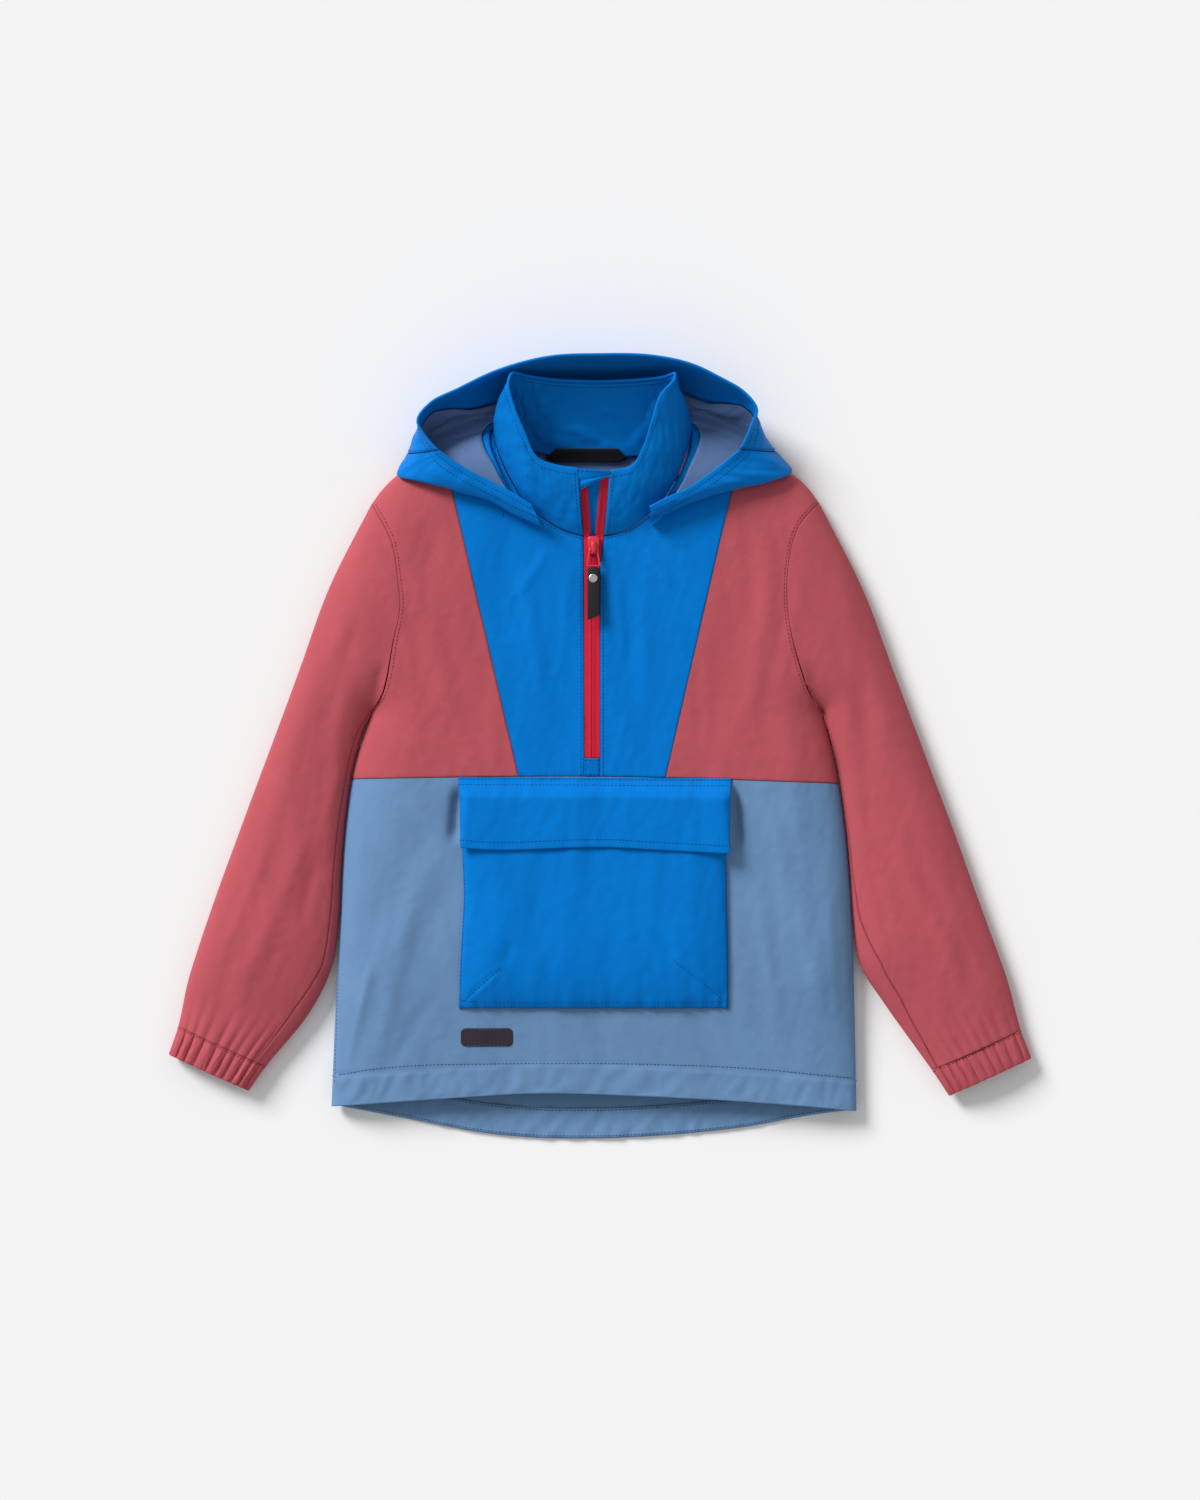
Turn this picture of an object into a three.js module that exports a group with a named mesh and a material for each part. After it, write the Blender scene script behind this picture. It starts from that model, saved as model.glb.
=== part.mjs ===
// Child's anorak pullover with a detachable hood, laid flat on a table, front up.
// Millimetres. +X is to the right as the front is seen, +Y runs from hem to neck, +Z up.
// The back panel rests on z = 0 and the front lies over it with a little air between.
import * as THREE from 'three';

// Cloth and seams
const CLOTH = 1.2;
const LINING = 0.9;
const SEAM_GAP = 0.6;
const LAYER_GAP = 0.4;

// How the laid garment rounds over at its folded edges
const FOLD_Z = 8.5;
const BODY_LOFT = 27;
const HEM_LOFT = 16;
const HEM_Y = -290;
const LOFT_RUN = 140;
const SLEEVE_LOFT = 24;
const CUFF_LOFT = 18;
const CUFF_Y = -250;
const CUFF_RUN = 110;
const MIDDLE_X = 0.5;
const MIDDLE_Y = 0;
const BODY_MIDDLE_X = -4;
const BODY_HALF = 205;
const TOP_REACH = 44;
const BOTTOM_REACH = 12;
const EDGE_FLAT = 0.3;
const FOLD_GAP = 1.4;

// Zip
const ZIP_BOTTOM_Y = -8;
const TAPE_LOW = 0.6;
const TAPE_THICK = 1.0;
const ZIP_EDGE_GAP = 0.4;

// Pocket on the lower front
const POCKET_LOFT = 7.5;
const POCKET_TOP_Y = -42;
const POCKET_SEWN_Y = -86;
const PATCH_GAP = 0.6;
const FLAP_CLEAR = 1.6;

// Cuffs
const CUFF_WAVES = 14;
const CUFF_WAVE_DEPTH = 1.3;

// Hood
const HOOD_CLEAR = 2.8;
const TABLE_CLEAR = 0.7;
const HOOD_LAYER_GAP = 0.8;

// Colours of the cloth and the trim
const FINISH = {
  cloth_blue: { color: 0x0670c6, roughness: 0.72, metalness: 0 },
  cloth_red: { color: 0xb2535e, roughness: 0.8, metalness: 0 },
  cloth_slate: { color: 0x6b90b6, roughness: 0.8, metalness: 0 },
  lining_slate: { color: 0x4d6b96, roughness: 0.75, metalness: 0 },
  zip_red: { color: 0xc1263a, roughness: 0.6, metalness: 0 },
  slider_red: { color: 0xc8203a, roughness: 0.4, metalness: 0.1 },
  rubber_black: { color: 0x2a282c, roughness: 0.6, metalness: 0 },
  badge_black: { color: 0x3b353d, roughness: 0.55, metalness: 0 },
  metal_silver: { color: 0xc0c0c4, roughness: 0.3, metalness: 1 },
};

// Outlines on the table. Each row is a point [x, y] of a smooth curve.
const SHOULDER_LEFT = [[-87, 261], [-127, 245], [-164, 226], [-178, 213], [-187, 201]];
const SHOULDER_RIGHT = [[76, 263], [117, 245], [156, 227], [171, 214], [180, 202]];
const ARMHOLE_LEFT = [[-187, 201], [-170, 169], [-165, 140], [-163, 115], [-168, 89], [-177, 45], [-187, 30]];
const ARMHOLE_RIGHT = [[180, 202], [162, 180], [154, 146], [154, 113], [158, 88], [172, 45], [183, 30]];
const SIDE_LEFT = [[-187, 30], [-201, -14], [-209, -71], [-213, -145], [-217, -219], [-220, -293]];
const SIDE_RIGHT = [[183, 30], [193, -14], [201, -71], [206, -145], [209, -219], [211, -297]];
const YOKE_SEAM = [[-210, -25], [-66, -23], [0, -23], [54, -24], [208, -29]];
const HEM_FRONT = [[-220, -293], [-137, -287], [-50, -282], [0, -283], [89, -287], [173, -293], [211, -297]];
const HEM_BACK = [[-220, -293], [-167, -303], [-82, -318], [0, -321], [109, -313], [173, -302], [211, -297]];
const V_SEAM_LEFT = [[-128, 244], [-66, -23]];
const V_SEAM_RIGHT = [[116, 245], [54, -24]];

// Sections across each sleeve, from the armhole to the top of the cuff, and the cuff's edge.
// seam is how far from the outer to the inner fold the front seam lies.
const SLEEVE_LEFT = [
  { outer: [-187, 201], inner: [-187, 30], seam: 0.933 },
  { outer: [-222, 132], inner: [-195, 14], seam: 0.933 },
  { outer: [-246, 66], inner: [-203.5, -14], seam: 0.933 },
  { outer: [-264, 17], inner: [-209, -41], seam: 0.933 },
  { outer: [-282, -31], inner: [-213, -70], seam: 0.933 },
  { outer: [-299, -77], inner: [-216, -104], seam: 0.933 },
  { outer: [-314, -118], inner: [-218, -142], seam: 0.933 },
  { outer: [-328, -159], inner: [-222, -180], seam: 0.93 },
  { outer: [-338, -191], inner: [-239, -218], seam: 0.88 },
  { outer: [-346, -228], inner: [-274, -261], seam: 0.88 },
];
const SLEEVE_RIGHT = [
  { outer: [180, 202], inner: [183, 30], seam: 0.933 },
  { outer: [217, 129], inner: [189, 12], seam: 0.933 },
  { outer: [241, 65], inner: [196.5, -14], seam: 0.933 },
  { outer: [258, 20], inner: [202, -41], seam: 0.933 },
  { outer: [276, -28], inner: [206, -71], seam: 0.933 },
  { outer: [293, -73], inner: [209.5, -105], seam: 0.933 },
  { outer: [309, -118], inner: [212.5, -142], seam: 0.933 },
  { outer: [324, -159], inner: [216, -178], seam: 0.85 },
  { outer: [335, -190], inner: [233, -208], seam: 0.86 },
  { outer: [346, -231], inner: [273, -264], seam: 0.94 },
];
const CUFF_EDGE_LEFT = { outer: [-354, -251], inner: [-288, -281] };
const CUFF_EDGE_RIGHT = { outer: [355, -254], inner: [287, -285] };

// Soft folds of the front: a ridge from one end to the other.
const FRONT_FOLDS = [
  { from: [-120, -60], to: [-205, -230], width: 26, height: 2.6 },
  { from: [-150, -120], to: [-190, -275], width: 18, height: 1.8 },
  { from: [140, -50], to: [188, -225], width: 24, height: 2.2 },
  { from: [-150, 150], to: [-120, 20], width: 22, height: 1.6 },
  { from: [140, 160], to: [120, 10], width: 22, height: 1.6 },
  { from: [-60, 150], to: [-48, 30], width: 16, height: 1.2 },
  { from: [40, 160], to: [36, 20], width: 16, height: 1.2 },
  { from: [-216, 110], to: [-292, -120], width: 22, height: 2.0 },
  { from: [205, 120], to: [288, -120], width: 22, height: 2.0 },
  { from: [-235, -60], to: [-300, -215], width: 16, height: 1.6 },
  { from: [232, -60], to: [312, -220], width: 16, height: 1.6 },
];

// Sections up the collar, from the left zip edge round the back to the right zip edge.
// A base without z takes the height of the front panels there.
const COLLAR = [
  { base: [-13.4, 173.6], top: [-17.3, 227, 46] },
  { base: [-32, 179.6], top: [-37, 230, 47] },
  { base: [-56.5, 196.6], top: [-51, 236, 49] },
  { base: [-73, 221], top: [-61, 256, 52] },
  { base: [-83.5, 245], top: [-70, 277, 54] },
  { base: [-86.5, 260, 9], top: [-75, 297, 54] },
  { base: [-80, 257, 6.5], top: [-71, 306, 46] },
  { base: [-68, 250.5, 4.5], top: [-59, 304.5, 36] },
  { base: [-45, 242.5, 3.6], top: [-40, 302, 31] },
  { base: [0, 239.5, 3.4], top: [0, 300.5, 28] },
  { base: [40, 242.5, 3.6], top: [36, 302, 31] },
  { base: [60, 251.5, 4.5], top: [52, 303.5, 36] },
  { base: [71, 259, 6.5], top: [62, 305.5, 46] },
  { base: [75.5, 262, 9], top: [61, 298, 54] },
  { base: [72.5, 245], top: [50, 286, 54] },
  { base: [63, 220.5], top: [43, 266, 52] },
  { base: [47.5, 197.6], top: [36, 245, 49] },
  { base: [23, 178.6], top: [26, 229, 47] },
  { base: [3.9, 173.8], top: [8.6, 225, 46] },
];
const COLLAR_BULGE = 3.5;
const COLLAR_LAYER_GAP = 0.9;
const NECK_CLEAR = 1.3;
const NECK_MIDDLE_Y = 225;

// Sections of the hood, from the left snap round the crown to the right snap.
// Each runs from the neck edge under the hood to its outer fold, up and back to the brim.
// A neck or under point without z rests on what lies below it.
const HOOD = [
  { neck: [-46, 183.5], under: [-46.5, 182], foot: [-47, 180.5, 32], bulge: [-51, 189, 36.5], brim: [-55, 197, 38] },
  { neck: [-63, 197], under: [-67, 194], foot: [-72, 191.5, 33], bulge: [-73, 199, 40], brim: [-71, 207, 42] },
  { neck: [-76, 215], under: [-84, 210], foot: [-92, 203, 30], bulge: [-95, 210, 40], brim: [-90, 217, 44] },
  { neck: [-84, 233], under: [-101, 223], foot: [-121, 211, 24], bulge: [-117, 217, 38], brim: [-106, 225, 45] },
  { neck: [-89, 246], under: [-118, 234], foot: [-150, 219, 15], bulge: [-139, 224, 34], brim: [-121, 234, 45] },
  { neck: [-89.8, 255.5], under: [-130, 242], foot: [-166, 225, 13], bulge: [-152, 231, 31], brim: [-128, 239, 45] },
  { neck: [-88.8, 260.5], under: [-127, 250], foot: [-158, 243, 12], bulge: [-150, 241, 30], brim: [-132, 242, 45] },
  { neck: [-87, 264], under: [-120, 260.5], foot: [-152, 257, 9], bulge: [-151, 254, 27], brim: [-140, 250, 44] },
  { neck: [-83.5, 265.8], under: [-113, 266.5], foot: [-142, 267, 3], bulge: [-147, 266, 25], brim: [-149, 267, 43] },
  { neck: [-77.5, 265], under: [-103, 270], foot: [-128, 275, 1.5], bulge: [-136, 279, 24], brim: [-138, 282, 43] },
  { neck: [-69, 261], under: [-88, 271.5], foot: [-106, 281, 1.2], bulge: [-113, 289, 24], brim: [-116, 293, 45] },
  { neck: [-50, 253], under: [-64, 274], foot: [-76, 293, 1.2], bulge: [-81, 303, 26], brim: [-82, 308.5, 48] },
  { neck: [-24, 246], under: [-32, 275], foot: [-38, 303, 1.2], bulge: [-40, 313, 27], brim: [-41, 319, 50] },
  { neck: [0, 245.5], under: [0, 276], foot: [0, 306, 1.2], bulge: [0, 315.5, 27], brim: [0, 321, 50] },
  { neck: [22, 246], under: [32, 275], foot: [38, 304, 1.2], bulge: [40, 314, 27], brim: [41, 320, 50] },
  { neck: [43, 250], under: [57, 275], foot: [69, 298, 1.2], bulge: [73, 308, 26], brim: [74, 313.5, 48] },
  { neck: [58, 259.5], under: [76, 273], foot: [92, 286, 1.2], bulge: [97, 296, 24], brim: [99, 302, 46] },
  { neck: [67, 265], under: [89, 271], foot: [110, 277, 1.5], bulge: [117, 285, 24], brim: [119, 290, 44] },
  { neck: [72.5, 265.8], under: [98, 269], foot: [122, 271, 3], bulge: [127, 274, 26], brim: [129, 276, 43] },
  { neck: [76, 263.8], under: [104, 264], foot: [131, 262, 7], bulge: [132, 262, 29], brim: [125, 263, 44] },
  { neck: [78, 260], under: [110, 254], foot: [144.5, 244.5, 10], bulge: [136, 242.5, 32], brim: [115, 243, 45] },
  { neck: [78.2, 255], under: [116, 243], foot: [158, 227.5, 12], bulge: [144, 231, 32], brim: [108, 237, 45] },
  { neck: [77, 245], under: [106, 234], foot: [144.5, 220, 15], bulge: [130, 222.5, 36], brim: [98, 229, 45] },
  { neck: [73, 232], under: [91, 223], foot: [114, 212, 24], bulge: [106, 215, 40], brim: [87, 221, 45] },
  { neck: [67, 216], under: [78, 210], foot: [90, 205, 30], bulge: [86, 208, 41], brim: [74, 212, 44] },
  { neck: [54, 199], under: [58, 197], foot: [64, 195.5, 33], bulge: [63, 200, 40], brim: [58, 204.5, 42] },
  { neck: [39.5, 185.5], under: [40, 185], foot: [41, 184.5, 32], bulge: [42, 190, 36.5], brim: [41, 196, 38] },
];
const HOOD_SEAM_LEFT = 6;
const HOOD_SEAM_RIGHT = 20;

// Edges of the two zip tapes up the front: together below the slider, parting above it.
const ZIP = [
  { y: -8, leftOuter: -12.5, leftInner: -6.35, rightInner: -5.95, rightOuter: 0.2 },
  { y: 60, leftOuter: -12.5, leftInner: -6.35, rightInner: -5.95, rightOuter: 0.2 },
  { y: 152, leftOuter: -12.5, leftInner: -6.35, rightInner: -5.95, rightOuter: 0.2 },
  { y: 174, leftOuter: -13.0, leftInner: -7.8, rightInner: -2.9, rightOuter: 3.4 },
  { y: 213, leftOuter: -15.8, leftInner: -10.3, rightInner: 0.7, rightOuter: 7.0 },
  { y: 221, leftOuter: -16.3, leftInner: -10.6, rightInner: 1.5, rightOuter: 7.7 },
];
const TAPE_TOP_LEFT_Y = 213;
const TAPE_TOP_RIGHT_Y = 221;

// Edges of the pocket and of its flap
const POCKET = [
  { y: -42, left: -112.5, right: 104.5 },
  { y: -86, left: -112, right: 103.5 },
  { y: -120, left: -110.5, right: 104 },
  { y: -165, left: -113, right: 105 },
  { y: -213, left: -115, right: 105.5 },
];
const FLAP = { left: [-115, -24.4], right: [107.5, -25.6] };
const FLAP_EDGE = [[-113.5, -80], [-82, -82], [0, -79.5], [50, -82], [106, -85]];

const BADGE = { x: -92.3, y: -236.6, length: 42.6, height: 15, corner: 4 };

// The neck label lies across the foot of the inner collar.
const LABEL = [
  { left: -39, right: 16, y: 235.8, z: 5.9 },
  { left: -45, right: 22.5, y: 238.6, z: 6.7 },
  { left: -35, right: 15.5, y: 246.2, z: 9.9 },
];

// Small helpers
const clamp01 = (t) => Math.min(1, Math.max(0, t));
const mix = (a, b, t) => a + (b - a) * t;
const smooth = (t) => clamp01(t) ** 2 * (3 - 2 * clamp01(t));
const range = (n, from = 0, to = 1) => Array.from({ length: n + 1 }, (_, i) => mix(from, to, i / n));
const SPAN_STEPS = 16;
const easeBoth = (n) => range(n).map((t) => (1 - Math.cos(Math.PI * t)) / 2);
const easeStart = (n) => range(n).map((t) => 1 - Math.cos((Math.PI / 2) * t));

// A smooth curve on the table through the given points, kept as a dense polyline.
class PlanCurve {
  constructor(points, straight = false) {
    const vectors = points.map(([x, y]) => new THREE.Vector3(x, y, 0));
    const spline = new THREE.CatmullRomCurve3(vectors, false, 'centripetal');
    this.points = straight ? vectors : spline.getPoints((points.length - 1) * SPAN_STEPS);
    this.lengths = [0];
    for (let i = 1; i < this.points.length; i += 1) {
      this.lengths.push(this.lengths[i - 1] + this.points[i].distanceTo(this.points[i - 1]));
    }
  }

  // The point at a share t of the length.
  at(t) {
    const reach = clamp01(t) * this.lengths[this.lengths.length - 1];
    let i = 1;
    while (i < this.points.length - 1 && this.lengths[i] < reach) i += 1;
    const part = (reach - this.lengths[i - 1]) / (this.lengths[i] - this.lengths[i - 1]);
    return this.points[i - 1].clone().lerp(this.points[i], part);
  }

  // The share of the length nearest to a point.
  nearest(x, y) {
    let best = Infinity;
    let share = 0;
    for (let i = 1; i < this.points.length; i += 1) {
      const a = this.points[i - 1];
      const b = this.points[i];
      const dx = b.x - a.x;
      const dy = b.y - a.y;
      const t = clamp01(((x - a.x) * dx + (y - a.y) * dy) / (dx * dx + dy * dy));
      const gap = Math.hypot(x - a.x - t * dx, y - a.y - t * dy);
      if (gap < best) {
        best = gap;
        share = mix(this.lengths[i - 1], this.lengths[i], t) / this.lengths[this.lengths.length - 1];
      }
    }
    return { gap: best, share };
  }

  gap(x, y) {
    return this.nearest(x, y).gap;
  }

  // The point at a row of the table that made the curve, counted from 0.
  row(t) {
    const k = Math.min(t * SPAN_STEPS, this.points.length - 1);
    const i = Math.min(Math.floor(k), this.points.length - 2);
    return this.points[i].clone().lerp(this.points[i + 1], k - i);
  }
}

const shoulderLeft = new PlanCurve(SHOULDER_LEFT);
const shoulderRight = new PlanCurve(SHOULDER_RIGHT);
const armholeLeft = new PlanCurve(ARMHOLE_LEFT);
const armholeRight = new PlanCurve(ARMHOLE_RIGHT);
const sideLeft = new PlanCurve(SIDE_LEFT);
const sideRight = new PlanCurve(SIDE_RIGHT);
const yokeSeam = new PlanCurve(YOKE_SEAM);
const collarFoot = new PlanCurve(COLLAR.map(({ base }) => base));
const hemFront = new PlanCurve(HEM_FRONT);
const hemBack = new PlanCurve(HEM_BACK);
const vSeamLeft = new PlanCurve(V_SEAM_LEFT, true);
const vSeamRight = new PlanCurve(V_SEAM_RIGHT, true);

// Necklines of the panels, just outside the foot of the collar between two of its sections.
function neckline(from, to, clear) {
  const points = range(24).map((t) => {
    const row = mix(from, to, t);
    const p = collarFoot.row(row);
    const ahead = collarFoot.row(Math.min(row + 0.1, COLLAR.length - 1));
    const behind = collarFoot.row(Math.max(row - 0.1, 0));
    const along = ahead.sub(behind).normalize();
    return [p.x - along.y * clear, p.y + along.x * clear];
  });
  return new PlanCurve(points, true);
}
const LEFT_NECK_POINT = 5;
const RIGHT_NECK_POINT = 13;
const neckFrontLeft = neckline(0, LEFT_NECK_POINT, NECK_CLEAR);
const neckFrontRight = neckline(COLLAR.length - 1, RIGHT_NECK_POINT, NECK_CLEAR);
const neckBack = neckline(LEFT_NECK_POINT, RIGHT_NECK_POINT, NECK_CLEAR);

// The long edges of a sleeve, with the cuff's edge as their end.
function sleeveRails(sections, cuffEdge) {
  const rows = [...sections, cuffEdge];
  return {
    outer: new PlanCurve(rows.map((row) => row.outer)),
    inner: new PlanCurve(rows.map((row) => row.inner)),
  };
}
const railsLeft = sleeveRails(SLEEVE_LEFT, CUFF_EDGE_LEFT);
const railsRight = sleeveRails(SLEEVE_RIGHT, CUFF_EDGE_RIGHT);

// Distances to the four folded edges: two silhouettes and the two slits below the arms.
function foldGaps(x, y) {
  return [
    Math.min(shoulderLeft.gap(x, y), railsLeft.outer.gap(x, y)),
    Math.min(shoulderRight.gap(x, y), railsRight.outer.gap(x, y)),
    Math.min(sideLeft.gap(x, y), railsLeft.inner.gap(x, y)),
    Math.min(sideRight.gap(x, y), railsRight.inner.gap(x, y)),
  ];
}

// A quarter round: 0 at a folded edge, 1 once the reach is passed.
function quarterRound(gap, reach) {
  return Math.sqrt(1 - (1 - clamp01((gap - EDGE_FLAT) / reach)) ** 2);
}

function foldRelief(x, y) {
  let relief = 0;
  for (const fold of FRONT_FOLDS) {
    const [ax, ay] = fold.from;
    const [bx, by] = fold.to;
    const dx = bx - ax;
    const dy = by - ay;
    const t = clamp01(((x - ax) * dx + (y - ay) * dy) / (dx * dx + dy * dy));
    const gap = Math.hypot(x - ax - t * dx, y - ay - t * dy);
    const fade = smooth(Math.min(t, 1 - t) * 3 + 0.15);
    relief += fold.height * fade * Math.exp(-((gap / (fold.width * 0.5)) ** 2));
  }
  return relief;
}

// Height of the outside of the front and of the sleeves' upper side.
function topHeight(x, y) {
  const bodyLoft = mix(HEM_LOFT, BODY_LOFT, smooth((y - HEM_Y) / LOFT_RUN));
  const sleeveLoft = mix(CUFF_LOFT, SLEEVE_LOFT, smooth((y - CUFF_Y) / CUFF_RUN));
  const onSleeve = smooth((Math.abs(x - BODY_MIDDLE_X) - BODY_HALF) / 20);
  const crown = mix(bodyLoft, sleeveLoft, onSleeve) + foldRelief(x, y);
  let share = 1;
  for (const gap of foldGaps(x, y)) share *= quarterRound(gap, TOP_REACH);
  return mix(FOLD_Z + FOLD_GAP / 2, crown, share);
}

// Height of the outside of the back and of the sleeves' lower side, flat on the table.
function bottomHeight(x, y) {
  const gap = Math.min(...foldGaps(x, y));
  return (FOLD_Z - FOLD_GAP / 2) * (1 - quarterRound(gap, BOTTOM_REACH));
}

// Height of whatever the hood lies on: the front, or the table past the shoulders and the neck.
function coverHeight(x, y) {
  const shoulder = x < 0 ? shoulderLeft : shoulderRight;
  const near = shoulder.nearest(x, y);
  const edge = shoulder.at(near.share);
  const insideNeck = near.share <= 0 && Math.abs(x) < Math.abs(edge.x) && y > NECK_MIDDLE_Y;
  if (y < edge.y && !insideNeck) return topHeight(x, y);
  const ahead = near.share <= 0 ? Math.hypot(x - edge.x, y - edge.y) : near.gap;
  return FOLD_Z * (1 - smooth(ahead / 16));
}

// A blended patch between four curves on the table; each takes a share from 0 to 1.
// The sides are drawn in to meet the ends of the top and the bottom.
function blendedPatch({ top, bottom, left, right }) {
  const drawnIn = (curve, start, end, v) => (
    curve(v).add(start.clone().sub(curve(0)).lerp(end.clone().sub(curve(1)), v)));
  return (u, v) => {
    const across = top(u).lerp(bottom(u), v);
    const leftSide = drawnIn(left, top(0), bottom(0), v);
    const down = leftSide.lerp(drawnIn(right, top(1), bottom(1), v), u);
    const upper = top(0).lerp(top(1), u);
    const lower = bottom(0).lerp(bottom(1), u);
    return across.add(down).sub(upper.lerp(lower, v));
  };
}

// A geometry whose faces point outwards, turned round if its volume comes out negative.
function facingOut(positions, index) {
  const corner = (k) => new THREE.Vector3().fromArray(positions, index[k] * 3);
  let volume = 0;
  for (let k = 0; k < index.length; k += 3) {
    volume += corner(k).dot(corner(k + 1).cross(corner(k + 2)));
  }
  if (volume < 0) {
    for (let k = 0; k < index.length; k += 3) [index[k], index[k + 1]] = [index[k + 1], index[k]];
  }
  const geometry = new THREE.BufferGeometry();
  geometry.setAttribute('position', new THREE.Float32BufferAttribute(positions, 3));
  geometry.setIndex(index);
  geometry.computeVertexNormals();
  return geometry;
}

// The upward normal of a height over the table. Panels that meet share it along their seam.
const SLOPE_FROM = 1.5;
function slopeNormal(height, { x, y }) {
  const step = 0.5;
  const dx = (height(x + step, y) - height(x - step, y)) / (2 * step);
  const dy = (height(x, y + step) - height(x, y - step)) / (2 * step);
  return new THREE.Vector3(-dx, -dy, 1).normalize();
}

const onSlope = (height) => (p) => (
  Math.min(...foldGaps(p.x, p.y)) > SLOPE_FROM ? slopeNormal(height, p) : null);

// The outward normal of the collar or hood, whose columns run clockwise as seen from above.
function surfaceNormal(point, u, v, [du, dv]) {
  const along = point(Math.min(u + du, 1), v).sub(point(Math.max(u - du, 0), v));
  const up = point(u, Math.min(v + dv, 1)).sub(point(u, Math.max(v - dv, 0)));
  return up.cross(along).normalize();
}

// A closed cloth wall over a grid of surface points. outward(p) roughly faces away from the
// cloth's outer side; the wall lies between the two distances outer and inner along it.
// normalOf gives a normal where there is a true one, so that layers and neighbours agree; with
// exact it faces outwards already.
function clothWall(point, uValues, vValues, options = {}) {
  const { outward = UP, outer = 0, inner = -CLOTH, ring = false, normalOf = () => null, exact = false } = options;
  const columns = uValues.length;
  const rows = vValues.length;
  const grid = vValues.flatMap((v) => uValues.map((u) => point(u, v)));
  const pick = (i, j) => grid[j * columns + i];
  const normals = [];
  let facing = 0;
  for (let j = 0; j < rows; j += 1) {
    for (let i = 0; i < columns; i += 1) {
      const before = ring ? (i + columns - 1) % columns : Math.max(i - 1, 0);
      const after = ring ? (i + 1) % columns : Math.min(i + 1, columns - 1);
      const across = pick(after, j).clone().sub(pick(before, j));
      const along = pick(i, Math.min(j + 1, rows - 1)).clone().sub(pick(i, Math.max(j - 1, 0)));
      const normal = across.cross(along).normalize();
      facing += normal.dot(outward(pick(i, j)));
      normals.push(normal);
    }
  }
  grid.forEach((p, k) => {
    normals[k].multiplyScalar(Math.sign(facing));
    const given = normalOf(p, uValues[k % columns], vValues[Math.floor(k / columns)]);
    if (given) normals[k] = exact ? given : given.multiplyScalar(Math.sign(given.dot(normals[k])));
  });
  const positions = [];
  for (const offset of [outer, inner]) {
    grid.forEach((p, k) => positions.push(...p.clone().addScaledVector(normals[k], offset).toArray()));
  }
  const under = grid.length;
  const index = [];
  const quad = (a, b, c, d) => index.push(a, b, c, a, c, d);
  const spans = ring ? columns : columns - 1;
  for (let i = 0; i < spans; i += 1) {
    const next = (i + 1) % columns;
    for (let j = 0; j < rows - 1; j += 1) {
      const [a, b] = [j * columns + i, j * columns + next];
      const [c, d] = [b + columns, a + columns];
      quad(a, b, c, d);
      quad(under + a, under + d, under + c, under + b);
    }
    const last = (rows - 1) * columns;
    quad(next, i, under + i, under + next);
    quad(last + i, last + next, under + last + next, under + last + i);
  }
  for (let j = 0; j < rows - 1 && !ring; j += 1) {
    const a = j * columns;
    const b = a + columns;
    quad(a, b, under + b, under + a);
    quad(b + columns - 1, b - 1, under + b - 1, under + b + columns - 1);
  }
  return facingOut(positions, index);
}

const UP = () => new THREE.Vector3(0, 0, 1);
const DOWN = () => new THREE.Vector3(0, 0, -1);

const anorak = new THREE.Group();

function addPiece(name, geometry, finish) {
  geometry.translate(-MIDDLE_X, -MIDDLE_Y, 0);
  const mesh = new THREE.Mesh(geometry, new THREE.MeshStandardMaterial(FINISH[finish]));
  mesh.name = name;
  anorak.add(mesh);
  return mesh;
}

// Curves joined end to end as one edge of a patch; ends says at which share each part ends.
function joined(parts, ends) {
  return (t) => {
    const k = ends.findIndex((end, n) => t <= end || n === ends.length - 1);
    const start = k === 0 ? 0 : ends[k - 1];
    return parts[k](clamp01((t - start) / (ends[k] - start)));
  };
}

// Part of a curve between two shares, moved sideways on the table.
function stretch(curve, from, to, dx = 0, dy = 0) {
  return (t) => curve.at(mix(from, to, t)).add(new THREE.Vector3(dx, dy, 0));
}

// A plan patch laid on the front or on the back of the garment.
function laid(plan, height, raise = 0) {
  return (u, v) => {
    const p = plan(u, v);
    p.z = height(p.x, p.y) + raise;
    return p;
  };
}

const HALF = SEAM_GAP / 2;
const SIDES = [
  {
    tag: 'l', sign: -1, shoulder: shoulderLeft, armhole: armholeLeft, side: sideLeft, vSeam: vSeamLeft,
    neck: neckFrontLeft, rails: railsLeft, sections: SLEEVE_LEFT,
    zipEdge: (y) => zipAt('leftOuter', y) - ZIP_EDGE_GAP,
  },
  {
    tag: 'r', sign: 1, shoulder: shoulderRight, armhole: armholeRight, side: sideRight, vSeam: vSeamRight,
    neck: neckFrontRight, rails: railsRight, sections: SLEEVE_RIGHT,
    zipEdge: (y) => zipAt('rightOuter', y) + ZIP_EDGE_GAP,
  },
];

function tableAt(table, key, y) {
  const rising = table[0].y < table[table.length - 1].y;
  const rows = rising ? table : [...table].reverse();
  let k = 1;
  while (k < rows.length - 1 && rows[k].y < y) k += 1;
  const t = clamp01((y - rows[k - 1].y) / (rows[k].y - rows[k - 1].y));
  return mix(rows[k - 1][key], rows[k][key], t);
}
const zipAt = (key, y) => tableAt(ZIP, key, y);

// Where the yoke seam meets a point, and the side edge at the height of the yoke seam.
const seamShare = (p) => yokeSeam.nearest(p.x, p.y).share;
function sideAtYoke({ side }) {
  const middle = side.nearest(side.at(0.2).x, yokeSeam.at(0).y).share;
  const onSeam = yokeSeam.at(seamShare(side.at(middle)));
  return side.nearest(onSeam.x, onSeam.y).share;
}

// Steps down the armhole are shared by the body's panels and the sleeve's first section.
const ARMHOLE_STEPS = easeBoth(12);
const ARMHOLE_SHARE = 0.78;
const SIDE_STEPS = range(3, ARMHOLE_SHARE, 1).slice(1);
const UPPER_ROWS = [...ARMHOLE_STEPS.map((t) => t * ARMHOLE_SHARE), ...SIDE_STEPS];

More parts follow.
